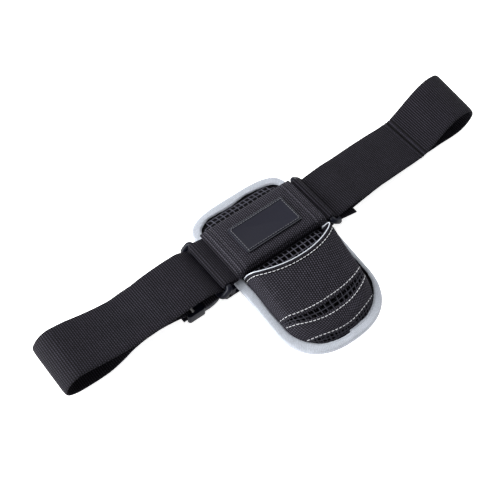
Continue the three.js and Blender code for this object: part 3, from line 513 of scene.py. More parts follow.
def tube_faces(rings, count, closed_run):
    """Quads between rings of count points each, with end caps on an open run."""
    faces = []
    spans = rings if closed_run else rings - 1
    for i in range(spans):
        a, b = i * count, ((i + 1) % rings) * count
        faces += [(a + j, a + (j + 1) % count, b + (j + 1) % count, b + j) for j in range(count)]
    if not closed_run:
        faces.append(tuple(range(count - 1, -1, -1)))
        faces.append(tuple((rings - 1) * count + j for j in range(count)))
    return faces


def ribbon(name, places, width, thickness, step, smooth=3, crease=None):
    """Webbing along a run, with rounded edges and folds at its crease, marked for its ribs."""
    places, at = evenly(places, step)
    places[:, :3] = softened(places[:, :3], smooth)
    if crease is not None:
        upper = places[:, 2] > BUCKLE_HEIGHT / 2
        for fold in (-1, 0, 1):
            off = places[:, 0] - crease - fold * CREASE_PITCH
            dip = CREASE_DEPTH * np.exp(-(off / CREASE_WIDTH) ** 2)
            places[:, 2] -= np.where(upper, dip, 0)
    forward = np.gradient(places[:, :3], axis=0)
    forward /= np.linalg.norm(forward, axis=1, keepdims=True)
    turn, lean = np.radians(places[:, 3]), np.radians(places[:, 4])
    across = np.stack([np.sin(turn) * np.cos(lean), np.cos(turn) * np.cos(lean), np.sin(lean)], 1)
    up = np.cross(forward, across)
    up /= np.linalg.norm(up, axis=1, keepdims=True)
    k = np.sin(np.linspace(-1, 1, 11) * math.pi / 2)
    half = thickness / 2 * (1 - 0.55 * np.abs(k) ** 14)
    section = np.concatenate([
        np.stack([k * width / 2, half], 1),
        np.stack([k[::-1] * width / 2, -half[::-1]], 1),
    ])
    relief = np.concatenate([1 - np.abs(k) ** 20, 1 - np.abs(k[::-1]) ** 20])
    points = (
        places[:, None, :3]
        + across[:, None] * section[None, :, :1]
        + up[:, None] * section[None, :, 1:]
    )
    rings, count = points.shape[:2]
    faces = tube_faces(rings, count, False)
    u = section[:, 0] * MM
    uv = []
    for face in faces:
        uv += [(u[i % count], at[i // count] * MM) for i in face]
    marks = {"along": np.repeat(at * MM, count), "relief": np.tile(relief, rings)}
    obj = mesh_object(name, points.reshape(-1, 3), faces, uv, marks)
    return obj, at[-1]


def sheet(name, outer, inner, u, v, rib_along):
    """A cloth with thickness from two grids of points; u and v are lengths over the grid."""
    rows, columns = outer.shape[:2]
    points = np.concatenate([outer.reshape(-1, 3), inner.reshape(-1, 3)])
    back = rows * columns
    faces = []
    for quad in grid_quads(rows, columns):
        faces += [quad, tuple(p + back for p in reversed(quad))]
    edge = list(range(columns))
    edge += [j * columns + columns - 1 for j in range(1, rows)]
    edge += [(rows - 1) * columns + i for i in range(columns - 2, -1, -1)]
    edge += [j * columns for j in range(rows - 2, 0, -1)]
    for n, a in enumerate(edge):
        b = edge[(n + 1) % len(edge)]
        faces.append((b, a, a + back, b + back))
    flat_u, flat_v = np.tile(u.ravel(), 2) * MM, np.tile(v.ravel(), 2) * MM
    uv = [(flat_u[p], flat_v[p]) for face in faces for p in face]
    border = np.ones((rows, columns))
    border[0] = border[-1] = 0
    border[:, 0] = border[:, -1] = 0
    marks = {
        "along": flat_u if rib_along == "u" else flat_v,
        "relief": np.concatenate([border.ravel(), np.zeros(back)]),
    }
    return mesh_object(name, points, faces, uv, marks)


def arc_lengths(grid, axis):
    """Lengths along a grid of points, row by row or column by column."""
    steps = np.linalg.norm(np.diff(grid, axis=axis), axis=-1)
    start = np.zeros_like(np.take(steps, [0], axis=axis))
    return np.concatenate([start, np.cumsum(steps, axis=axis)], axis=axis)


def tube(name, path, radius, sides, closed_run=False):
    """A round cord or bar along points, its frame carried along without twist."""
    path = np.asarray(path, float)
    if closed_run:
        forward = np.roll(path, -1, 0) - np.roll(path, 1, 0)
    else:
        forward = np.gradient(path, axis=0)
    forward /= np.linalg.norm(forward, axis=1, keepdims=True)
    guide = np.array([0, 0, 1.0]) if abs(forward[0][2]) < 0.8 else np.array([0, 1.0, 0])
    ups = []
    for f in forward:
        guide = guide - f * guide.dot(f)
        guide /= np.linalg.norm(guide)
        ups.append(guide)
    ups = np.array(ups)
    sideways = np.cross(forward, ups)
    angle = np.arange(sides) / sides * 2 * math.pi
    wide = np.broadcast_to(radius, (len(path), 1))
    points = (
        path[:, None]
        + ups[:, None] * (wide * np.sin(angle))[..., None]
        + sideways[:, None] * (wide * np.cos(angle))[..., None]
    )
    faces = tube_faces(len(path), sides, closed_run)
    run = run_lengths(path)
    uv = [
        (angle[i % sides] * wide[i // sides, 0] * MM, run[i // sides] * MM)
        for face in faces for i in face
    ]
    return mesh_object(name, points.reshape(-1, 3), faces, uv)


# Geometry Nodes
class Tree:
    """A geometry tree with named inputs, made step by step."""

    def __init__(self, name, inputs):
        self.group = bpy.data.node_groups.new(name, "GeometryNodeTree")
        face = self.group.interface
        face.new_socket("Geometry", in_out="INPUT", socket_type="NodeSocketGeometry")
        self.sockets = {}
        for key, kind, default in inputs:
            socket = face.new_socket(key, in_out="INPUT", socket_type=kind)
            if default is not None:
                socket.default_value = default
            self.sockets[key] = socket.identifier
        face.new_socket("Geometry", in_out="OUTPUT", socket_type="NodeSocketGeometry")
        self.start = self.group.nodes.new("NodeGroupInput")
        self.end = self.group.nodes.new("NodeGroupOutput")

    def node(self, kind, links=None, **settings):
        made = self.group.nodes.new(kind)
        for key, value in settings.items():
            setattr(made, key, value)
        for key, value in (links or {}).items():
            socket = made.inputs[key]
            if isinstance(value, bpy.types.NodeSocket):
                self.group.links.new(value, socket)
            else:
                socket.default_value = value
        return made

    def math(self, operation, a, b=0.0):
        return self.node("ShaderNodeMath", {0: a, 1: b}, operation=operation).outputs[0]

    def value(self, key):
        return self.start.outputs[key]

    def finish(self, geometry, material):
        real = self.node("GeometryNodeRealizeInstances", {"Geometry": geometry})
        painted = self.node("GeometryNodeSetMaterial", {
            "Geometry": real.outputs["Geometry"], "Material": material,
        })
        self.group.links.new(painted.outputs[0], self.end.inputs[0])
        return self


def grown(obj, tree, **values):
    """Runs a tree on an object and keeps the result as a plain mesh."""
    modifier = obj.modifiers.new(tree.group.name, "NODES")
    modifier.node_group = tree.group
    for key, value in values.items():
        modifier[tree.sockets[key]] = value
    bpy.context.view_layer.update()
    mesh = evaluated_mesh(obj)
    obj.modifiers.remove(modifier)
    old = obj.data
    if obj.type == "CURVE":
        new = linked(obj.name + "_mesh", mesh)
        name = obj.name
        bpy.data.objects.remove(obj)
        new.name = name
        obj = new
    else:
        obj.data = mesh
        bpy.data.meshes.remove(old)
    obj.data.shade_smooth()
    return obj


FLOAT, MATERIAL = "NodeSocketFloat", "NodeSocketMaterial"


def rib_tree():
    """Ribs across a cloth, where its along mark rises and its relief mark lets them."""
    tree = Tree("Cloth ribs", [
        ("Pitch", FLOAT, 0.0019), ("Height", FLOAT, 0.0002), ("Material", MATERIAL, None),
    ])
    along = tree.node("GeometryNodeInputNamedAttribute", {"Name": "along"}).outputs["Attribute"]
    relief = tree.node("GeometryNodeInputNamedAttribute", {"Name": "relief"}).outputs["Attribute"]
    turns = tree.math("DIVIDE", along, tree.value("Pitch"))
    wave = tree.math("ABSOLUTE", tree.math("SINE", tree.math("MULTIPLY", turns, math.pi)))
    height = tree.math("MULTIPLY", tree.math("MULTIPLY", wave, tree.value("Height")), relief)
    normal = tree.node("GeometryNodeInputNormal").outputs[0]
    offset = tree.node("ShaderNodeVectorMath", {0: normal, "Scale": height}, operation="SCALE")
    moved = tree.node("GeometryNodeSetPosition", {
        "Geometry": tree.value("Geometry"), "Offset": offset.outputs[0],
    })
    return tree.finish(moved.outputs[0], tree.value("Material"))


def net_tree():
    """Knits a surface into an open net: a round strand along each edge of its grid."""
    tree = Tree("Open net", [("Strand", FLOAT, 0.0004), ("Material", MATERIAL, None)])
    lines = tree.node("GeometryNodeMeshToCurve", {"Mesh": tree.value("Geometry")})
    ring = tree.node("GeometryNodeCurvePrimitiveCircle", {
        "Resolution": 6, "Radius": tree.value("Strand"),
    })
    strands = tree.node("GeometryNodeCurveToMesh", {
        "Curve": lines.outputs[0], "Profile Curve": ring.outputs["Curve"], "Fill Caps": True,
    })
    return tree.finish(strands.outputs[0], tree.value("Material"))


def stitch_tree():
    """Even stitches along curves, each a short bar that dips into the cloth at its ends."""
    tree = Tree("Stitches", [
        ("Pitch", FLOAT, 0.0026), ("Length", FLOAT, 0.002), ("Thread", FLOAT, 0.0003),
        ("Material", MATERIAL, None),
    ])
    even = tree.node("GeometryNodeResampleCurve", {
        "Curve": tree.value("Geometry"), "Length": tree.value("Pitch"),
    }, mode="LENGTH")
    points = tree.node("GeometryNodeCurveToPoints", {"Curve": even.outputs[0]}, mode="EVALUATED")
    half = tree.math("MULTIPLY", tree.value("Length"), 0.5)
    low = tree.math("MULTIPLY", tree.value("Thread"), -0.9)
    start = tree.node("ShaderNodeCombineXYZ", {"Z": tree.math("MULTIPLY", half, -1.0), "X": low})
    end = tree.node("ShaderNodeCombineXYZ", {"Z": half, "X": low})
    top = tree.node("ShaderNodeCombineXYZ", {"X": tree.value("Thread")})
    bow = tree.node("GeometryNodeCurveQuadraticBezier", {
        "Resolution": 5, "Start": start.outputs[0], "Middle": top.outputs[0],
        "End": end.outputs[0],
    })
    ring = tree.node("GeometryNodeCurvePrimitiveCircle", {
        "Resolution": 6, "Radius": tree.value("Thread"),
    })
    bar = tree.node("GeometryNodeCurveToMesh", {
        "Curve": bow.outputs[0], "Profile Curve": ring.outputs["Curve"], "Fill Caps": True,
    })
    placed = tree.node("GeometryNodeInstanceOnPoints", {
        "Points": points.outputs["Points"], "Instance": bar.outputs[0],
        "Rotation": points.outputs["Rotation"],
    })
    return tree.finish(placed.outputs[0], tree.value("Material"))


TREES = {}


def tree_for(name, maker):
    if name not in TREES:
        TREES[name] = maker()
    return TREES[name]


# Materials
class Paint:
    """A material with a principled shader and the nodes that feed it."""

    def __init__(self, name, roughness, sheen=0.0, specular=0.4):
        self.material = bpy.data.materials.new(name)
        self.material.use_nodes = True
        self.nodes = self.material.node_tree.nodes
        self.links = self.material.node_tree.links
        self.shader = self.nodes["Principled BSDF"]
        self.set("Roughness", roughness)
        self.set("Sheen Weight", sheen)
        self.set("Sheen Roughness", 0.5)
        self.set("Specular IOR Level", specular)
        self.place = self.nodes.new("ShaderNodeTexCoord")

    def set(self, key, value):
        self.shader.inputs[key].default_value = value

    def math(self, operation, a, b=0.0):
        made = self.nodes.new("ShaderNodeMath")
        made.operation = operation
        for i, value in enumerate((a, b)):
            if isinstance(value, bpy.types.NodeSocket):
                self.links.new(value, made.inputs[i])
            else:
                made.inputs[i].default_value = value
        return made.outputs[0]

    def noise(self, scale, detail=3.0, roughness=0.55):
        made = self.nodes.new("ShaderNodeTexNoise")
        made.inputs["Scale"].default_value = scale
        made.inputs["Detail"].default_value = detail
        made.inputs["Roughness"].default_value = roughness
        self.links.new(self.place.outputs["Object"], made.inputs["Vector"])
        return made.outputs["Fac"]

    def uv(self):
        made = self.nodes.new("ShaderNodeSeparateXYZ")
        self.links.new(self.place.outputs["UV"], made.inputs[0])
        return made.outputs[0], made.outputs[1]

    def waves(self, length, pitch, power=1.0, shift=0.0):
        """From 0 in the grooves to 1 on the crests."""
        turned = self.math("MULTIPLY", length, math.pi / pitch)
        wave = self.math("ABSOLUTE", self.math("SINE", self.math("ADD", turned, shift)))
        return self.math("POWER", wave, power)

    def masked(self, share, mask, gain, floor):
        """A share that a second one dims, from floor up by gain."""
        return self.math("MULTIPLY", share, self.math("ADD", self.math("MULTIPLY", mask, gain), floor))

    def tone(self, low, high, share):
        """Mixes two colours by a share from 0 to 1."""
        made = self.nodes.new("ShaderNodeMix")
        made.data_type = "RGBA"
        made.inputs["A"].default_value = (*low, 1)
        made.inputs["B"].default_value = (*high, 1)
        self.links.new(share, made.inputs["Factor"])
        return made.outputs["Result"]

    def colour(self, output):
        self.links.new(output, self.shader.inputs["Base Color"])

    def rough(self, low, high, share):
        made = self.nodes.new("ShaderNodeMapRange")
        made.inputs["To Min"].default_value = low
        made.inputs["To Max"].default_value = high
        self.links.new(share, made.inputs["Value"])
        self.links.new(made.outputs[0], self.shader.inputs["Roughness"])

    def bump(self, height, distance, strength=1.0):
        made = self.nodes.new("ShaderNodeBump")
        made.inputs["Distance"].default_value = distance
        made.inputs["Strength"].default_value = strength
        self.links.new(height, made.inputs["Height"])
        self.links.new(made.outputs[0], self.shader.inputs["Normal"])


def times(values, share):
    return tuple(v * share for v in values)


MATERIALS = {}


def weave(paint, base, across, along, pitch, sharpness, depth, wear, flecks):
    """Ribs at a pitch along one length, of yarns along the other, set off from rib to rib; the colour
    is painted dark in the grooves as shade and light on the crests, over random wear and flecks.
    """
    ribs = paint.waves(along, pitch, sharpness)
    rib = paint.math("FLOOR", paint.math("DIVIDE", along, pitch))
    yarns = paint.waves(across, YARN_PITCH * MM, 2.0, paint.math("MULTIPLY", rib, math.pi / 2))
    # Painted shade: the colour darkens into the grooves between ribs and yarns, and is painted lighter
    # on their crests
    share = paint.masked(ribs, yarns, depth, 1 - depth)
    share = paint.masked(share, wear, 0.5, 0.7)
    share = paint.masked(share, flecks, 0.5, 0.15)
    paint.colour(paint.tone(times(base, 0.05), times(base, 17.0), share))
    return yarns


def webbing_material(name, base, pitch):
    """Ribbed webbing: rows of yarn floats between grooves painted dark as shade."""
    paint = Paint(name, 0.72, specular=0.08)
    across, along = paint.uv()
    wear, flecks = paint.noise(60.0, 4.0), paint.noise(520.0, 2.0)
    floats = weave(paint, base, across, along, pitch, 2.2, 0.6, wear, flecks)
    paint.rough(0.6, 0.85, flecks)
    paint.bump(paint.math("ADD", floats, paint.math("MULTIPLY", flecks, 0.6)), 0.0002)
    return paint.material


def cloth_material(name, base, pitch):
    """Ribbed pocket cloth: columns of small loops between narrow grooves painted dark as shade."""
    paint = Paint(name, 0.75, specular=0.08)
    across, along = paint.uv()
    wear, flecks = paint.noise(55.0, 4.0), paint.noise(560.0, 2.0)
    loops = weave(paint, base, along, across, pitch, 1.8, 0.8, wear, flecks)
    paint.rough(0.6, 0.85, wear)
    paint.bump(loops, 0.0002)
    return paint.material


def padding_material(name, base):
    """Knitted backing of the spacer mesh."""
    paint = Paint(name, 0.9, specular=0.05)
    cells = paint.nodes.new("ShaderNodeTexVoronoi")
    cells.inputs["Scale"].default_value = 700.0
    paint.links.new(paint.place.outputs["Object"], cells.inputs["Vector"])
    paint.colour(paint.tone(times(base, 0.5), times(base, 1.8), cells.outputs["Distance"]))
    paint.bump(cells.outputs["Distance"], 0.0003)
    return paint.material


def strand_material(name, base):
    """Knitted strands of a mesh or net."""
    paint = Paint(name, 0.65, specular=0.08)
    grain = paint.noise(1500.0, 2.0)
    worn = paint.math("MULTIPLY", grain, paint.noise(160.0))
    paint.colour(paint.tone(times(base, 0.5), times(base, 1.7), worn))
    paint.bump(grain, 0.0002)
    return paint.material


def tape_material(name, base):
    """Pale grosgrain tape with fine ribs across it, painted darker in their grooves as shade, with
    random soil and grain.
    """
    paint = Paint(name, 0.7, sheen=0.15)
    ribs = paint.waves(paint.uv()[1], 0.0015, 0.8)
    soil = paint.noise(60.0, 4.0)
    grain = paint.noise(900.0, 2.0)
    # Painted shade in the rib grooves, mixed with random soil
    share = paint.math("ADD", paint.math("MULTIPLY", ribs, 0.5), paint.math("MULTIPLY", soil, 0.6))
    spark = paint.math("MULTIPLY", paint.math("ADD", grain, -0.1), 2.4)
    share = paint.math("MULTIPLY", share, spark)
    paint.colour(paint.tone(times(base, 0.68), times(base, 1.15), share))
    paint.bump(paint.math("ADD", ribs, grain), 0.0001)
    return paint.material


def thread_material(name, base):
    """Twisted thread."""
    paint = Paint(name, 0.55, sheen=0.2)
    grain = paint.noise(2200.0, 2.0)
    paint.colour(paint.tone(times(base, 0.75), times(base, 1.1), grain))
    paint.bump(grain, 0.0001)
    return paint.material


def moulded_material(name, base, low, high, grain_scale):
    """Moulded rubber or plastic with a fine spark finish and faint scuffs."""
    paint = Paint(name, low, specular=0.14)
    grain = paint.noise(grain_scale, 2.0)
    scuffs = paint.noise(120.0, 6.0, 0.65)
    paint.colour(paint.tone(times(base, 0.9), times(base, 1.15), scuffs))
    paint.rough(low, high, scuffs)
    paint.bump(grain, 0.00004)
    return paint.material


def floor_material(name, base):
    """Matt ground that glows a little, so that it stays as pale as its surroundings."""
    paint = Paint(name, 0.7, specular=0.1)
    paint.colour(paint.tone(times(base, 0.99), base, paint.noise(4.0)))
    paint.set("Emission Color", (1, 1, 1, 1))
    paint.set("Emission Strength", 0.8)
    return paint.material


def material(name):
    """The named material, made when it is first asked for."""
    if name in MATERIALS:
        return MATERIALS[name]
    grain, fine = 1500.0, 2500.0
    colours, sizes = bpy.context.scene.belt_colours, bpy.context.scene.belt_sizes
    # Colour of the bead round the patch's rim, far lighter than the rubber: a painted highlight along
    # the edge
    edge = times(colours.tape, 0.13)
    makers = {
        "webbing": lambda: webbing_material("Ribbed webbing", colours.webbing, sizes.rib_pitch),
        "cloth": lambda: cloth_material("Ribbed cloth", colours.cloth, sizes.cloth_pitch),
        "cover": lambda: cloth_material("Cover cloth", colours.cloth, sizes.cover_pitch),
        "padding": lambda: padding_material("Foam cloth", colours.padding),
        "net": lambda: strand_material("Mesh strands", colours.mesh),
        "pocket_net": lambda: strand_material("Net strands", times(colours.mesh, 0.55)),
        "tape": lambda: tape_material("Binding tape", colours.tape),
        "thread": lambda: thread_material("Pale thread", colours.thread),
        "tape_thread": lambda: thread_material("Tape thread", times(colours.tape, 0.9)),
        "cover_thread": lambda: thread_material("Dark thread", times(colours.webbing, 12.0)),
        "patch_thread": lambda: thread_material("Grey thread", times(colours.tape, 0.24)),
        "piping": lambda: thread_material("Piping cord", colours.piping),
        "rubber": lambda: moulded_material("Patch rubber", colours.rubber, 0.5, 0.65, grain),
        "patch_highlight_bead": lambda: moulded_material("Patch painted highlight", edge, 0.4, 0.55, grain),
        "plastic": lambda: moulded_material("Moulded plastic", colours.plastic, 0.32, 0.48, fine),
        "floor": lambda: floor_material("Pale floor", colours.floor),
    }
    MATERIALS[name] = makers[name]()
    return MATERIALS[name]


def painted(obj, name):
    obj.data.materials.clear()
    obj.data.materials.append(material(name))
    return obj


def placed(obj, slot, *nodes):
    """Rides on the belt and stands for the CAD nodes, which it hides; the slot is not used."""
    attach(obj, "root")
    if nodes:
        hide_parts(*nodes)
    return obj


def ribbed(obj, name, pitch, height):
    return grown(
        obj, tree_for("ribs", rib_tree), Pitch=pitch, Height=height, Material=material(name),
    )


def knitted(obj, strand, name):
    """Turns a surface into an open net of round strands."""
    net = grown(
        facing_up(obj), tree_for("net", net_tree), Strand=strand, Material=material(name),
    )
    outwards(net)
    return net


def stitches(name, paths, thread, slot, scale=1.0):
    """Rows of stitches; each path is a list of points in millimetres."""
    sizes = bpy.context.scene.belt_sizes
    curve = bpy.data.curves.new(name, "CURVE")
    curve.dimensions = "3D"
    curve.twist_mode = "Z_UP"
    for path in paths:
        line = curve.splines.new("POLY")
        line.points.add(len(path) - 1)
        flat = np.concatenate([np.asarray(path) * MM, np.ones((len(path), 1))], 1)
        line.points.foreach_set("co", flat.ravel())
    obj = grown(
        linked(name, curve), tree_for("stitches", stitch_tree), Pitch=sizes.stitch_pitch * scale,
        Length=sizes.stitch_length * scale, Thread=sizes.stitch_thread, Material=material(thread),
    )
    return placed(obj, slot)


# Operators
class BELT_OT_stage(bpy.types.Operator):
    """Sets the floor, the soft lights and the camera"""

    bl_idname = "belt.stage"
    bl_label = "Stage"

    def execute(self, context):
        make_floor()
        make_lights()
        make_camera()
        return {"FINISHED"}


def make_floor():
    reach = 20000.0
    points = [(-reach, -reach, 0), (reach, -reach, 0), (reach, reach, 0), (-reach, reach, 0)]
    floor = facing_up(mesh_object("floor", points, [(0, 1, 2, 3)]))
    painted(floor, "floor")


def make_lights():
    scene = bpy.context.scene
    world = bpy.data.worlds.new("Soft studio")
    world.use_nodes = True
    background = world.node_tree.nodes["Background"]
    background.inputs["Color"].default_value = (1, 1, 1, 1)
    background.inputs["Strength"].default_value = 0.3
    scene.world = world
    scene.view_settings.view_transform = "Standard"
    lights = [
        ("key", (-0.8, 0.4, 0.5), 0.6, 19.0),
        ("fill", (0.8, 0.3, 0.6), 0.8, 7.0),
        ("top", (0.0, 0.5, 1.2), 0.9, 5.0),
        ("front", (-0.5, -0.9, 0.3), 0.8, 3.8),
    ]
    for name, place, width, power in lights:
        lamp = bpy.data.lights.new(name, "AREA")
        lamp.shape = "SQUARE"
        lamp.size = width
        lamp.energy = power
        holder = linked(name, lamp)
        holder.location = place
        holder.rotation_euler = Vector(place).to_track_quat("Z", "Y").to_euler()


def make_camera():
    """The camera of the reference view."""
    focal, picture, film = 1007.73, 500, 36.0
    turn, rise, roll = math.radians(-38.12), math.radians(55.84), math.radians(0.29)
    distance, shift_x, shift_y = 868.34, 14.35, -8.99
    back = Vector((
        math.sin(turn) * math.cos(rise), -math.cos(turn) * math.cos(rise), math.sin(rise),
    ))
    right = Vector((math.cos(turn), math.sin(turn), 0))
    up = back.cross(right)
    right, up = (
        right * math.cos(roll) + up * math.sin(roll),
        up * math.cos(roll) - right * math.sin(roll),
    )
    eye = Vector((0, 0, 4)) + back * distance
    eye += (up * shift_y - right * shift_x) * distance / focal
    camera = bpy.data.cameras.new("reference")
    camera.sensor_width = film
    camera.lens = focal / picture * film
    camera.clip_end = 20.0
    holder = linked("reference", camera)
    turned = Matrix((right, up, back)).transposed().to_4x4()
    holder.matrix_world = Matrix.Translation(eye * MM) @ turned
    bpy.context.scene.camera = holder


class BELT_OT_pad(bpy.types.Operator):
    """Makes the foam pad and its spacer mesh"""

    bl_idname = "belt.pad"
    bl_label = "Pad"

    def execute(self, context):
        make_pad()
        make_spacer_mesh()
        return {"FINISHED"}


def make_pad():
    edge = TAPE_THICKNESS + FIT
    insets = [edge + 0.2, edge + PAD_EDGE / 4, TAPE_REACH]
    insets += [TAPE_REACH + s * CROWN_SLOPE for s in (0.15, 0.3, 0.45, 0.6, 0.8, 1.0)]
    insets += [18.5, 20.5, TOP_ROUND - 2]
    count = 200
    upper, lower = [], []
    for n, inset in enumerate(insets):
        loop = even_loop(inset, count)
        base = back_height(loop[:, 1])
        if n == 0:
            top = base + (FACE_EDGE + edge) / 2 + 0.3
            low = top - 0.6
        elif n < 3:
            top, low = base + FACE_EDGE, base + edge
        else:
            top = pad_face(loop[:, 0], loop[:, 1]) - 0.4
            low = base + edge * (1 - min((n - 2) / 3, 1))
        upper.append(np.column_stack([loop, top]))
        lower.append(np.column_stack([loop, low]))
    rings = [*reversed(upper), *lower]
    points = np.concatenate(rings)
    faces = tube_faces(len(rings), count, True)[:-count]
    faces += tube_caps(count, (len(rings) - 1) * count)
    pad = painted(mesh_object("pad_foam", points, faces), "padding")
    placed(pad, "padding", "pad")


def tube_caps(count, last):
    """Strips across the first and the last ring of a flat body."""
    faces = []
    half = count // 2
    for start, flip in ((0, False), (last, True)):
        for i in range(half):
            corners = [start + i, start + i + 1, start + count - i - 1, start + (count - i) % count]
            quad = list(dict.fromkeys(corners))
            if len(quad) > 2:
                faces.append(quad[::-1] if flip else quad)
    return faces


def make_spacer_mesh():
    """The open mesh on the pad's face, left out under the cover and puffed in the mouth."""
    sizes = bpy.context.scene.belt_sizes
    pitch = sizes.mesh_pitch / MM
    columns = int(PAD_WIDTH / pitch) + 1
    rows = int((PAD_ABOVE + PAD_BELOW) / pitch) + 1
    xs = (np.arange(columns + 1) - columns / 2) * pitch
    ys = -PAD_BELOW + np.arange(rows + 1) * pitch
    x, y = np.meshgrid(xs, ys)
    sway = MESH_SWAY * np.sin(y / pitch * math.pi)
    puff = MOUTH_PUFF * ease((-y - WEB_WIDTH / 2 - 1) / 5) * ease((y - POCKET_FOOT / 2) / 15)
    puff *= ease((inside_distance(x, y) - TAPE_REACH) / CROWN_SLOPE)
    points = np.stack([x + sway, y, pad_face(x, y) - MESH_SINK + puff], -1)
    inside = outline_value(x, y, TAPE_REACH - MESH_TUCK) < 1
    foot, head, side = (MESH_LEFT_OUT[key] for key in ("foot", "head", "side"))
    faces, used = [], {}
    for j in range(rows):
        for i in range(columns):
            if not inside[j:j + 2, i:i + 2].all():
                continue
            if foot < ys[j] < head and abs(xs[i]) < side:
                continue
            quad = [(j, i), (j, i + 1), (j + 1, i + 1), (j + 1, i)]
            faces.append([used.setdefault(q, len(used)) for q in quad])
    kept = np.array([points[q] for q in used])
    net = mesh_object("pad_spacer_mesh", kept, faces)
    placed(knitted(net, sizes.mesh_strand, "net"), "net")


class BELT_OT_binding(bpy.types.Operator):
    """Makes the pale tape round the pad and its stitches"""

    bl_idname = "belt.binding"
    bl_label = "Binding"

    def execute(self, context):
        make_binding()
        return {"FINISHED"}


def outward(loop):
    """Directions that point out of a closed loop of flat points."""
    along = np.roll(loop, -1, 0) - np.roll(loop, 1, 0)
    normal = np.stack([-along[:, 1], along[:, 0]], 1)
    normal /= np.linalg.norm(normal, axis=1, keepdims=True)
    return normal * np.sign((normal * loop).sum(1).mean())


def tape_section():
    """Insets and heights of the folded tape's outer and inner wall."""
    outer = []
    for angle in np.linspace(0, 1, 13) * math.pi:
        inset = TAPE_ROUND * (1 - math.sin(angle) ** 0.9)
        outer.append((inset, TAPE_HEIGHT / 2 * (1 + math.cos(angle) * 0.98)))
    profile = [(TAPE_WIDTH, TAPE_HEIGHT - 0.1), (TAPE_WIDTH * 0.7, TAPE_HEIGHT + 0.15)]
    profile += [(TAPE_WIDTH * 0.4, TAPE_HEIGHT + 0.15)] + outer
    profile += [(TAPE_WIDTH * 0.4, 0.0), (TAPE_WIDTH * 0.7, 0.0), (TAPE_WIDTH, 0.1)]
    low, high = TAPE_THICKNESS, TAPE_HEIGHT - TAPE_THICKNESS
    inner = [(TAPE_WIDTH, low), (TAPE_WIDTH * 0.6, low), (TAPE_SEAM, low)]
    inner += [(TAPE_THICKNESS, TAPE_HEIGHT / 2)]
    inner += [(TAPE_SEAM, high), (TAPE_WIDTH * 0.6, high), (TAPE_WIDTH, high)]
    return profile, inner


def make_binding():
    """The tape, narrower where the pocket hides it and puckered along its inner edge."""
    count = 420
    random = np.random.default_rng(7)
    profile, inner = tape_section()
    section = profile + inner
    pucker = np.convolve(random.normal(0, 1, count + 12), np.ones(7) / 7, "same")[6:-6]
    slack = np.convolve(random.normal(0, 1, count + 60), np.hanning(31) / 15, "same")[30:-30]
    rim = even_loop(0, count)
    hidden = TAPE_HIDDEN * np.exp(-((rim[:, 1] - HIDDEN_MIDDLE) / HIDDEN_LENGTH) ** 2)
    hidden *= (1 + np.tanh(rim[:, 0] / HIDDEN_FADE)) / 2
    narrower = slack * TAPE_SLACK + hidden
    shares = {0: 1.0, 1: 0.7, 2: 0.3, len(section) - 2: 0.6, len(section) - 1: 1.0}
    loops = []
    for n, (inset, height) in enumerate(section):
        loop = even_loop(inset, count)
        shift = (pucker * TAPE_PUCKER + narrower) * shares.get(n, 0.0)
        loop = loop + outward(loop) * shift[:, None]
        top = 0.06 * np.roll(pucker, 5) if n < len(profile) // 2 else 0
        loops.append(np.column_stack([loop, back_height(loop[:, 1]) + height + top]))
    grid = np.stack(loops, 1)
    width = len(section)
    faces = tube_faces(count, width, True)
    lengths = run_lengths(grid[:, 6])
    lengths = np.append(lengths, lengths[-1] + np.linalg.norm(grid[0, 6] - grid[-1, 6]))
    girth = run_lengths(grid[count // 4])
    uv = []
    for n, face in enumerate(faces):
        i = n // width
        uv += [(girth[p % width] * MM, lengths[i + (1 if k > 1 else 0)] * MM)
               for k, p in enumerate(face)]
    tape = painted(mesh_object("binding_tape", grid.reshape(-1, 3), faces, uv), "tape")
    placed(tape, "tape", "binding")
    loop = even_loop(TAPE_WIDTH - TAPE_SEAM, count)
    loop = loop + outward(loop) * narrower[:, None]
    line = np.column_stack([loop, back_height(loop[:, 1]) + TAPE_HEIGHT + 0.1])
    stitches("binding_stitches", [np.concatenate([line, line[:1]])], "tape_thread", "tape")


class BELT_OT_band(bpy.types.Operator):
    """Makes the front band that is folded round the rings"""

    bl_idname = "belt.band"
    bl_label = "Front band"

    def execute(self, context):
        make_webbing("front_webbing", band_places(), "front_band")
        return {"FINISHED"}


def make_webbing(name, places, node, crease=None):
    sizes = bpy.context.scene.belt_sizes
    height = sizes.rib_height
    core = WEB_THICKNESS - height / MM
    band, length = ribbon(
        name, places, WEB_WIDTH, core, sizes.rib_pitch / MM / 6, crease=crease,
    )
    band = ribbed(band, "webbing", sizes.rib_pitch, height)
    placed(band, "webbing", node)
    return band


class BELT_OT_cover(bpy.types.Operator):
    """Makes the padded cover over the front band"""

    bl_idname = "belt.cover"
    bl_label = "Cover"

    def execute(self, context):
        make_cover()
        return {"FINISHED"}


def cover_height(u, v):
    """Height of the padded cover, with a dip along each of its seams."""
    swell = np.sqrt(np.maximum((1 - np.abs(u) ** 9) * (1 - np.abs(v) ** 6), 0))
    dip = sum(depth * np.exp(-((np.abs(u) - share) / 0.02) ** 2) for share, depth in COVER_SEAMS)
    return COVER_FOOT + COVER_EDGE + (COVER_RISE - COVER_EDGE - 0.14) * swell - dip * swell


def cover_roll(edge, foot):
    """Rows that carry the cover's near edge down over the band, the lowest first."""
    low = BAND_LOW - WEB_THICKNESS / 2 + ROLL_GAP
    side = -WEB_WIDTH / 2 - FIT
    rows, lining = [], []
    for angle in np.radians(ROLL_ANGLES):
        row, back = edge.copy(), foot.copy()
        row[:, 1] += (side - ROLL_OUT - edge[:, 1]) * math.sin(angle)
        row[:, 2] += (low - edge[:, 2]) * (1 - math.cos(angle))
        back[:, 1] += (side - foot[:, 1]) * min(math.sin(angle) * LINING_HASTE, 1)
        back[:, 2] += (low - foot[:, 2]) * (1 - math.cos(angle))
        rows.append(row)
        lining.append(back)
    return np.stack(rows), np.stack(lining)


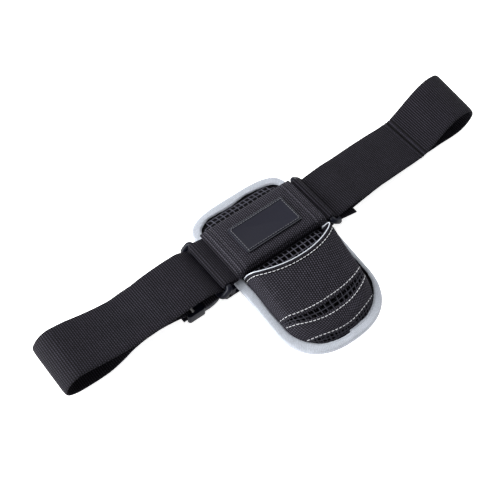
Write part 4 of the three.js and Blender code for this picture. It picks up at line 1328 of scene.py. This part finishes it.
def make_cover():
    sizes = bpy.context.scene.belt_sizes
    pitch = sizes.cover_pitch / MM
    across = int(COVER_LENGTH / pitch * 6)
    s, t = np.linspace(-1, 1, across + 1), np.linspace(-1, 1, 41)
    u, v = np.meshgrid(s, np.sin(t * math.pi / 2))
    x, y = u * COVER_LENGTH / 2, v * COVER_WIDTH / 2 + COVER_SHIFT
    outer = np.stack([x, y, cover_height(u, v)], -1)
    inner = np.stack([x, y, np.full(x.shape, COVER_FOOT)], -1)
    roll, lining = cover_roll(outer[0], inner[0])
    outer, inner = np.concatenate([roll, outer]), np.concatenate([lining, inner])
    cover = sheet("cover_pad", outer, inner, outer[..., 0], arc_lengths(outer, 0), "u")
    cover = ribbed(cover, "cover", sizes.cover_pitch, sizes.cloth_height)
    placed(cover, "cloth", "band_cover")
    rows = []
    line = np.linspace(-0.97, 0.97, 60)
    for share in [side * share for share, _ in COVER_SEAMS for side in (-1, 1)]:
        place = np.full(60, share)
        y = line * COVER_WIDTH / 2 + COVER_SHIFT
        rows.append(np.stack([place * COVER_LENGTH / 2, y, cover_height(place, line) + 0.2], 1))
    stitches("cover_stitches", rows, "cover_thread", "webbing", 0.6)


class BELT_OT_patch(bpy.types.Operator):
    """Makes the plain rubber patch with its sewn rim"""

    bl_idname = "belt.patch"
    bl_label = "Patch"

    def execute(self, context):
        patch = softened_copy("patch", "patch_plate", PATCH_ROUND, 2)
        painted(patch, "rubber")
        placed(patch, "rubber", "patch")
        top = COVER_FOOT + FIT + COVER_RISE + PATCH_THICKNESS
        # A thin bead round the patch's rim in the lighter colour, which paints the highlight where the
        # edge catches light
        edge = patch_line(PATCH_BEAD, top - PATCH_BEAD / 2)
        placed(painted(tube("patch_highlight_bead", edge, PATCH_BEAD, 8, True), "patch_highlight_bead"), "rubber")
        sewn = patch_line(PATCH_SEAM, top + 0.42)
        sewn = np.concatenate([sewn, sewn[:1]])
        stitches("patch_stitches", [sewn], "patch_thread", "rubber", 0.75)
        return {"FINISHED"}


def patch_line(inset, height):
    """The patch's outline, moved inwards."""
    x, y = PATCH_LENGTH / 2 - inset, PATCH_WIDTH / 2 - inset
    return np.array([(-x, -y, height), (x, -y, height), (x, y, height), (-x, y, height)])


def softened_copy(node, name, radius, segments):
    """A copy of a rigid solid with rounded edges."""
    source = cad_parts[node]
    source = source if isinstance(source, bpy.types.Object) else bpy.data.objects[node]
    copy = linked(name, source.data.copy())
    shape = bmesh.new()
    shape.from_mesh(copy.data)
    bmesh.ops.remove_doubles(shape, verts=shape.verts, dist=0.00001)
    bmesh.ops.dissolve_limit(
        shape, angle_limit=math.radians(2), verts=shape.verts, edges=shape.edges,
    )
    shape.to_mesh(copy.data)
    shape.free()
    bevel = copy.modifiers.new("Rounded edges", "BEVEL")
    bevel.width = radius * MM
    bevel.segments = segments
    bevel.limit_method = "ANGLE"
    bevel.angle_limit = math.radians(40)
    mesh = evaluated_mesh(copy)
    copy.modifiers.remove(bevel)
    copy.data = mesh
    copy.data.shade_smooth()
    copy.data.set_sharp_from_angle(angle=math.radians(35))
    return copy


class BELT_OT_rings(bpy.types.Operator):
    """Makes the two plastic rings"""

    bl_idname = "belt.rings"
    bl_label = "Rings"

    def execute(self, context):
        for side, node in ((-1, "ring_left"), (1, "ring_right")):
            ring = painted(tube(node + "_bar", ring_path(side), BAR_RADIUS, 20, True), "plastic")
            placed(ring, "plastic", node)
        return {"FINISHED"}


def ring_path(side):
    """The middle line of a ring, a rectangle with round corners, leant outwards and down."""
    r = RING_CORNER
    x, y = BAR_SPAN / 2 - r, WEB_WIDTH / 2 + RING_OVERHANG - r
    flat = []
    for cx, cy, start in ((x, -y, -90), (x, y, 0), (-x, y, 90), (-x, -y, 180)):
        for angle in np.radians(np.linspace(start, start + 90, 9)):
            flat.append((cx + r * math.cos(angle), cy + r * math.sin(angle)))
    flat = np.array(flat)
    across = side * (inner_bar(side) + outer_bar(side)) / 2
    middle = np.array([across, 0, (BAR_HEIGHT + OUTER_HEIGHT) / 2])
    out = np.array([side * math.cos(RING_TILT), 0, -math.sin(RING_TILT)])
    return middle + flat[:, :1] * out + flat[:, 1:] * np.array([0, 1, 0])


class BELT_OT_pocket(bpy.types.Operator):
    """Makes the pocket's cloth, its hem and its contrast stitches"""

    bl_idname = "belt.pocket"
    bl_label = "Pocket"

    def execute(self, context):
        make_pocket_cloth("pocket_cloth", "pocket_panel", lambda u: hem_line(u) - FIT,
                          lambda u: seam_at("upper", u), 30)
        make_pocket_cloth("pocket_low_cloth", "pocket_band", lambda u: seam_at("lower", u),
                          lambda u: seam_at("bottom", u), 18)
        make_hem()
        make_pocket_stitches()
        return {"FINISHED"}


def hem_line(u):
    return seam_at("mouth", u) - HEM_WIDTH


def pocket_grid(top, bottom, across, along, inset, lift):
    u, t = np.meshgrid(np.linspace(-1, 1, across + 1), np.linspace(0, 1, along + 1))
    y = top(u) + (bottom(u) - top(u)) * t
    return pocket_point(u, y, inset, lift)


def make_pocket_cloth(name, node, top, bottom, along):
    sizes = bpy.context.scene.belt_sizes
    relief = sizes.cloth_height / MM
    probe = pocket_grid(top, bottom, 200, along, 0, CLOTH_THICKNESS)
    girth = arc_lengths(probe, 1)[:, -1].max()
    across = int(girth / (sizes.cloth_pitch / MM) * 6)
    outer = pocket_grid(top, bottom, across, along, 0, CLOTH_THICKNESS - relief)
    inner = pocket_grid(top, bottom, across, along, CLOTH_THICKNESS, 0)
    u = arc_lengths(outer, 1)
    u = np.repeat(u[:1] * (girth / u[0, -1]), along + 1, 0)
    v = arc_lengths(outer, 0)
    cloth = sheet(name, outer, inner, u, v, "u")
    cloth = ribbed(cloth, "cloth", sizes.cloth_pitch, sizes.cloth_height)
    placed(cloth, "cloth", node)


def make_hem():
    """The folded strip along the mouth, modelled as one band."""
    lift = (CLOTH_THICKNESS - HEM_THICKNESS) / 2
    across, along = 240, 10
    u, t = np.meshgrid(np.linspace(-1, 1, across + 1), np.linspace(0, 1, along + 1))
    y = seam_at("mouth", u) - HEM_WIDTH * t
    round_off = HEM_ROUND * np.abs(2 * t - 1) ** 6
    outer = pocket_point(u, y, 0, HEM_THICKNESS + lift)
    outer[..., 2] -= round_off * np.cos(u * math.pi / 2)
    inner = pocket_point(u, y, HEM_THICKNESS, lift)
    hem = sheet("mouth_hem_tape", outer, inner, arc_lengths(outer, 1), arc_lengths(outer, 0), "u")
    painted(hem, "webbing")
    placed(hem, "webbing", "mouth_hem")


def seam_path(line, lift, reach=0.97, count=220):
    u = np.linspace(-reach, reach, count)
    return pocket_point(u, line(u), 0, lift)


def make_pocket_stitches():
    lift = CLOTH_THICKNESS + STITCH_LIFT
    rows = [seam_path(lambda u: hem_line(u) + HEM_ROW, lift + (HEM_THICKNESS - CLOTH_THICKNESS) / 2)]
    rows += [seam_path(lambda u: seam_at(seam, u) + off, lift) for seam, off in STITCH_ROWS]
    stitches("pocket_stitches", rows, "thread", "piping")


class BELT_OT_piping(bpy.types.Operator):
    """Makes the cord along the pocket's mouth"""

    bl_idname = "belt.piping"
    bl_label = "Piping"

    def execute(self, context):
        u = np.linspace(-0.97, 0.97, 160)
        y = seam_at("mouth", u)
        path = pocket_point(u, y, CLOTH_THICKNESS / 2, CLOTH_THICKNESS / 2)
        path[:, 1] += PIPING_RADIUS + FIT / 2
        flare = 1 + FLARE * np.exp(-((u - FLARE_PLACE) / FLARE_WIDTH) ** 2)
        radius = PIPING_SHARE * PIPING_RADIUS * flare[:, None]
        piping = painted(tube("mouth_cord", path, radius, 12), "piping")
        placed(piping, "piping", "mouth_piping")
        return {"FINISHED"}


class BELT_OT_nets(bpy.types.Operator):
    """Makes the open nets between the pocket's cloths and at its foot"""

    bl_idname = "belt.nets"
    bl_label = "Nets"

    def execute(self, context):
        make_pocket_net()
        make_bottom_net()
        return {"FINISHED"}


def make_net(name, node, grid):
    """An open net; its flat depth has a guessed seam allowance, which its area leaves out."""
    sizes = bpy.context.scene.belt_sizes
    net = mesh_object(name, grid.reshape(-1, 3), grid_quads(*grid.shape[:2]))
    net = placed(knitted(net, sizes.net_strand, "pocket_net"), "net", node)


def make_pocket_net():
    pitch = bpy.context.scene.belt_sizes.net_pitch / MM
    u, t = np.meshgrid(np.linspace(-1, 1, int(NET_SPAN / pitch) + 1), np.linspace(0, 1, 3))
    top, low = seam_at("upper", u) + NET_TUCK, seam_at("lower", u) - NET_TUCK
    grid = pocket_point(u, top + (low - top) * t, NET_TUCK, NET_LIFT)
    make_net("pocket_mesh", "pocket_net", grid)


def make_bottom_net():
    half = PAD_WIDTH / 2 - TAPE_REACH
    across = np.linspace(-FOOT_NET_REACH, FOOT_NET_REACH, 26)
    u, t = np.meshgrid(across, np.linspace(0, 1, 3))
    top = pocket_point(u, seam_at("bottom", u))
    foot = foot_at(u, top[..., 1])
    share = np.maximum(1 - np.abs(foot / half) ** BOTTOM_FULLNESS, 0)
    low = -PAD_BELOW + BOTTOM_ROUND - (BOTTOM_ROUND - TAPE_REACH) * share ** (1 / BOTTOM_FULLNESS)
    y = top[..., 1] + 0.4 + (low - top[..., 1]) * t
    rise = (1 - t) * bulge(top[..., 1]) * np.cos(u * math.pi / 2)
    x = top[..., 0] + (foot - top[..., 0]) * t
    grid = np.stack([x, y, pad_face(foot, y) + FIT + NET_LIFT + rise], -1)
    make_net("foot_mesh", "bottom_net", grid)


class BELT_OT_straps(bpy.types.Operator):
    """Makes the two waist straps with their ribs, and the creases of the right one"""

    bl_idname = "belt.straps"
    bl_label = "Straps"

    def execute(self, context):
        make_webbing("strap_left_webbing", left_places(), "strap_left")
        make_webbing(
            "strap_right_webbing", right_places(), "strap_right",
            outer_bar(1) + CREASE_SHARE * RIGHT_REACH,
        )
        return {"FINISHED"}


class BELT_OT_buckle(bpy.types.Operator):
    """Makes the two halves of the side-release buckle"""

    bl_idname = "belt.buckle"
    bl_label = "Buckle"

    def execute(self, context):
        names = {"buckle_male": "buckle_prong_half", "buckle_female": "buckle_socket_half"}
        for node, name in names.items():
            half = painted(softened_copy(node, name, BUCKLE_ROUND, 3), "plastic")
            placed(half, "plastic", node)
        return {"FINISHED"}


class BELT_PT_panel(bpy.types.Panel):
    """Sizes, colours and pieces of the belt"""

    bl_idname = "BELT_PT_panel"
    bl_label = "Fishing fighting belt"
    bl_space_type = "VIEW_3D"
    bl_region_type = "UI"
    bl_category = "Belt"

    def draw(self, context):
        layout = self.layout
        for group in (context.scene.belt_sizes, context.scene.belt_colours):
            box = layout.box()
            for key in type(group).__annotations__:
                box.prop(group, key)
        for operator in OPERATORS:
            layout.operator(operator.bl_idname)


OPERATORS = (
    BELT_OT_stage, BELT_OT_pad, BELT_OT_binding, BELT_OT_band, BELT_OT_cover, BELT_OT_patch,
    BELT_OT_rings, BELT_OT_pocket, BELT_OT_piping, BELT_OT_nets, BELT_OT_straps, BELT_OT_buckle,
)
CLASSES = (BeltSizes, BeltColours, *OPERATORS, BELT_PT_panel)


def register():
    for item in CLASSES:
        bpy.utils.register_class(item)
    bpy.types.Scene.belt_sizes = PointerProperty(type=BeltSizes)
    bpy.types.Scene.belt_colours = PointerProperty(type=BeltColours)


def unregister():
    del bpy.types.Scene.belt_colours
    del bpy.types.Scene.belt_sizes
    for item in reversed(CLASSES):
        bpy.utils.unregister_class(item)


def main():
    register()
    for operator in OPERATORS:
        getattr(bpy.ops.belt, operator.bl_idname.split(".")[1])()


if __name__ == "__main__":
    main()
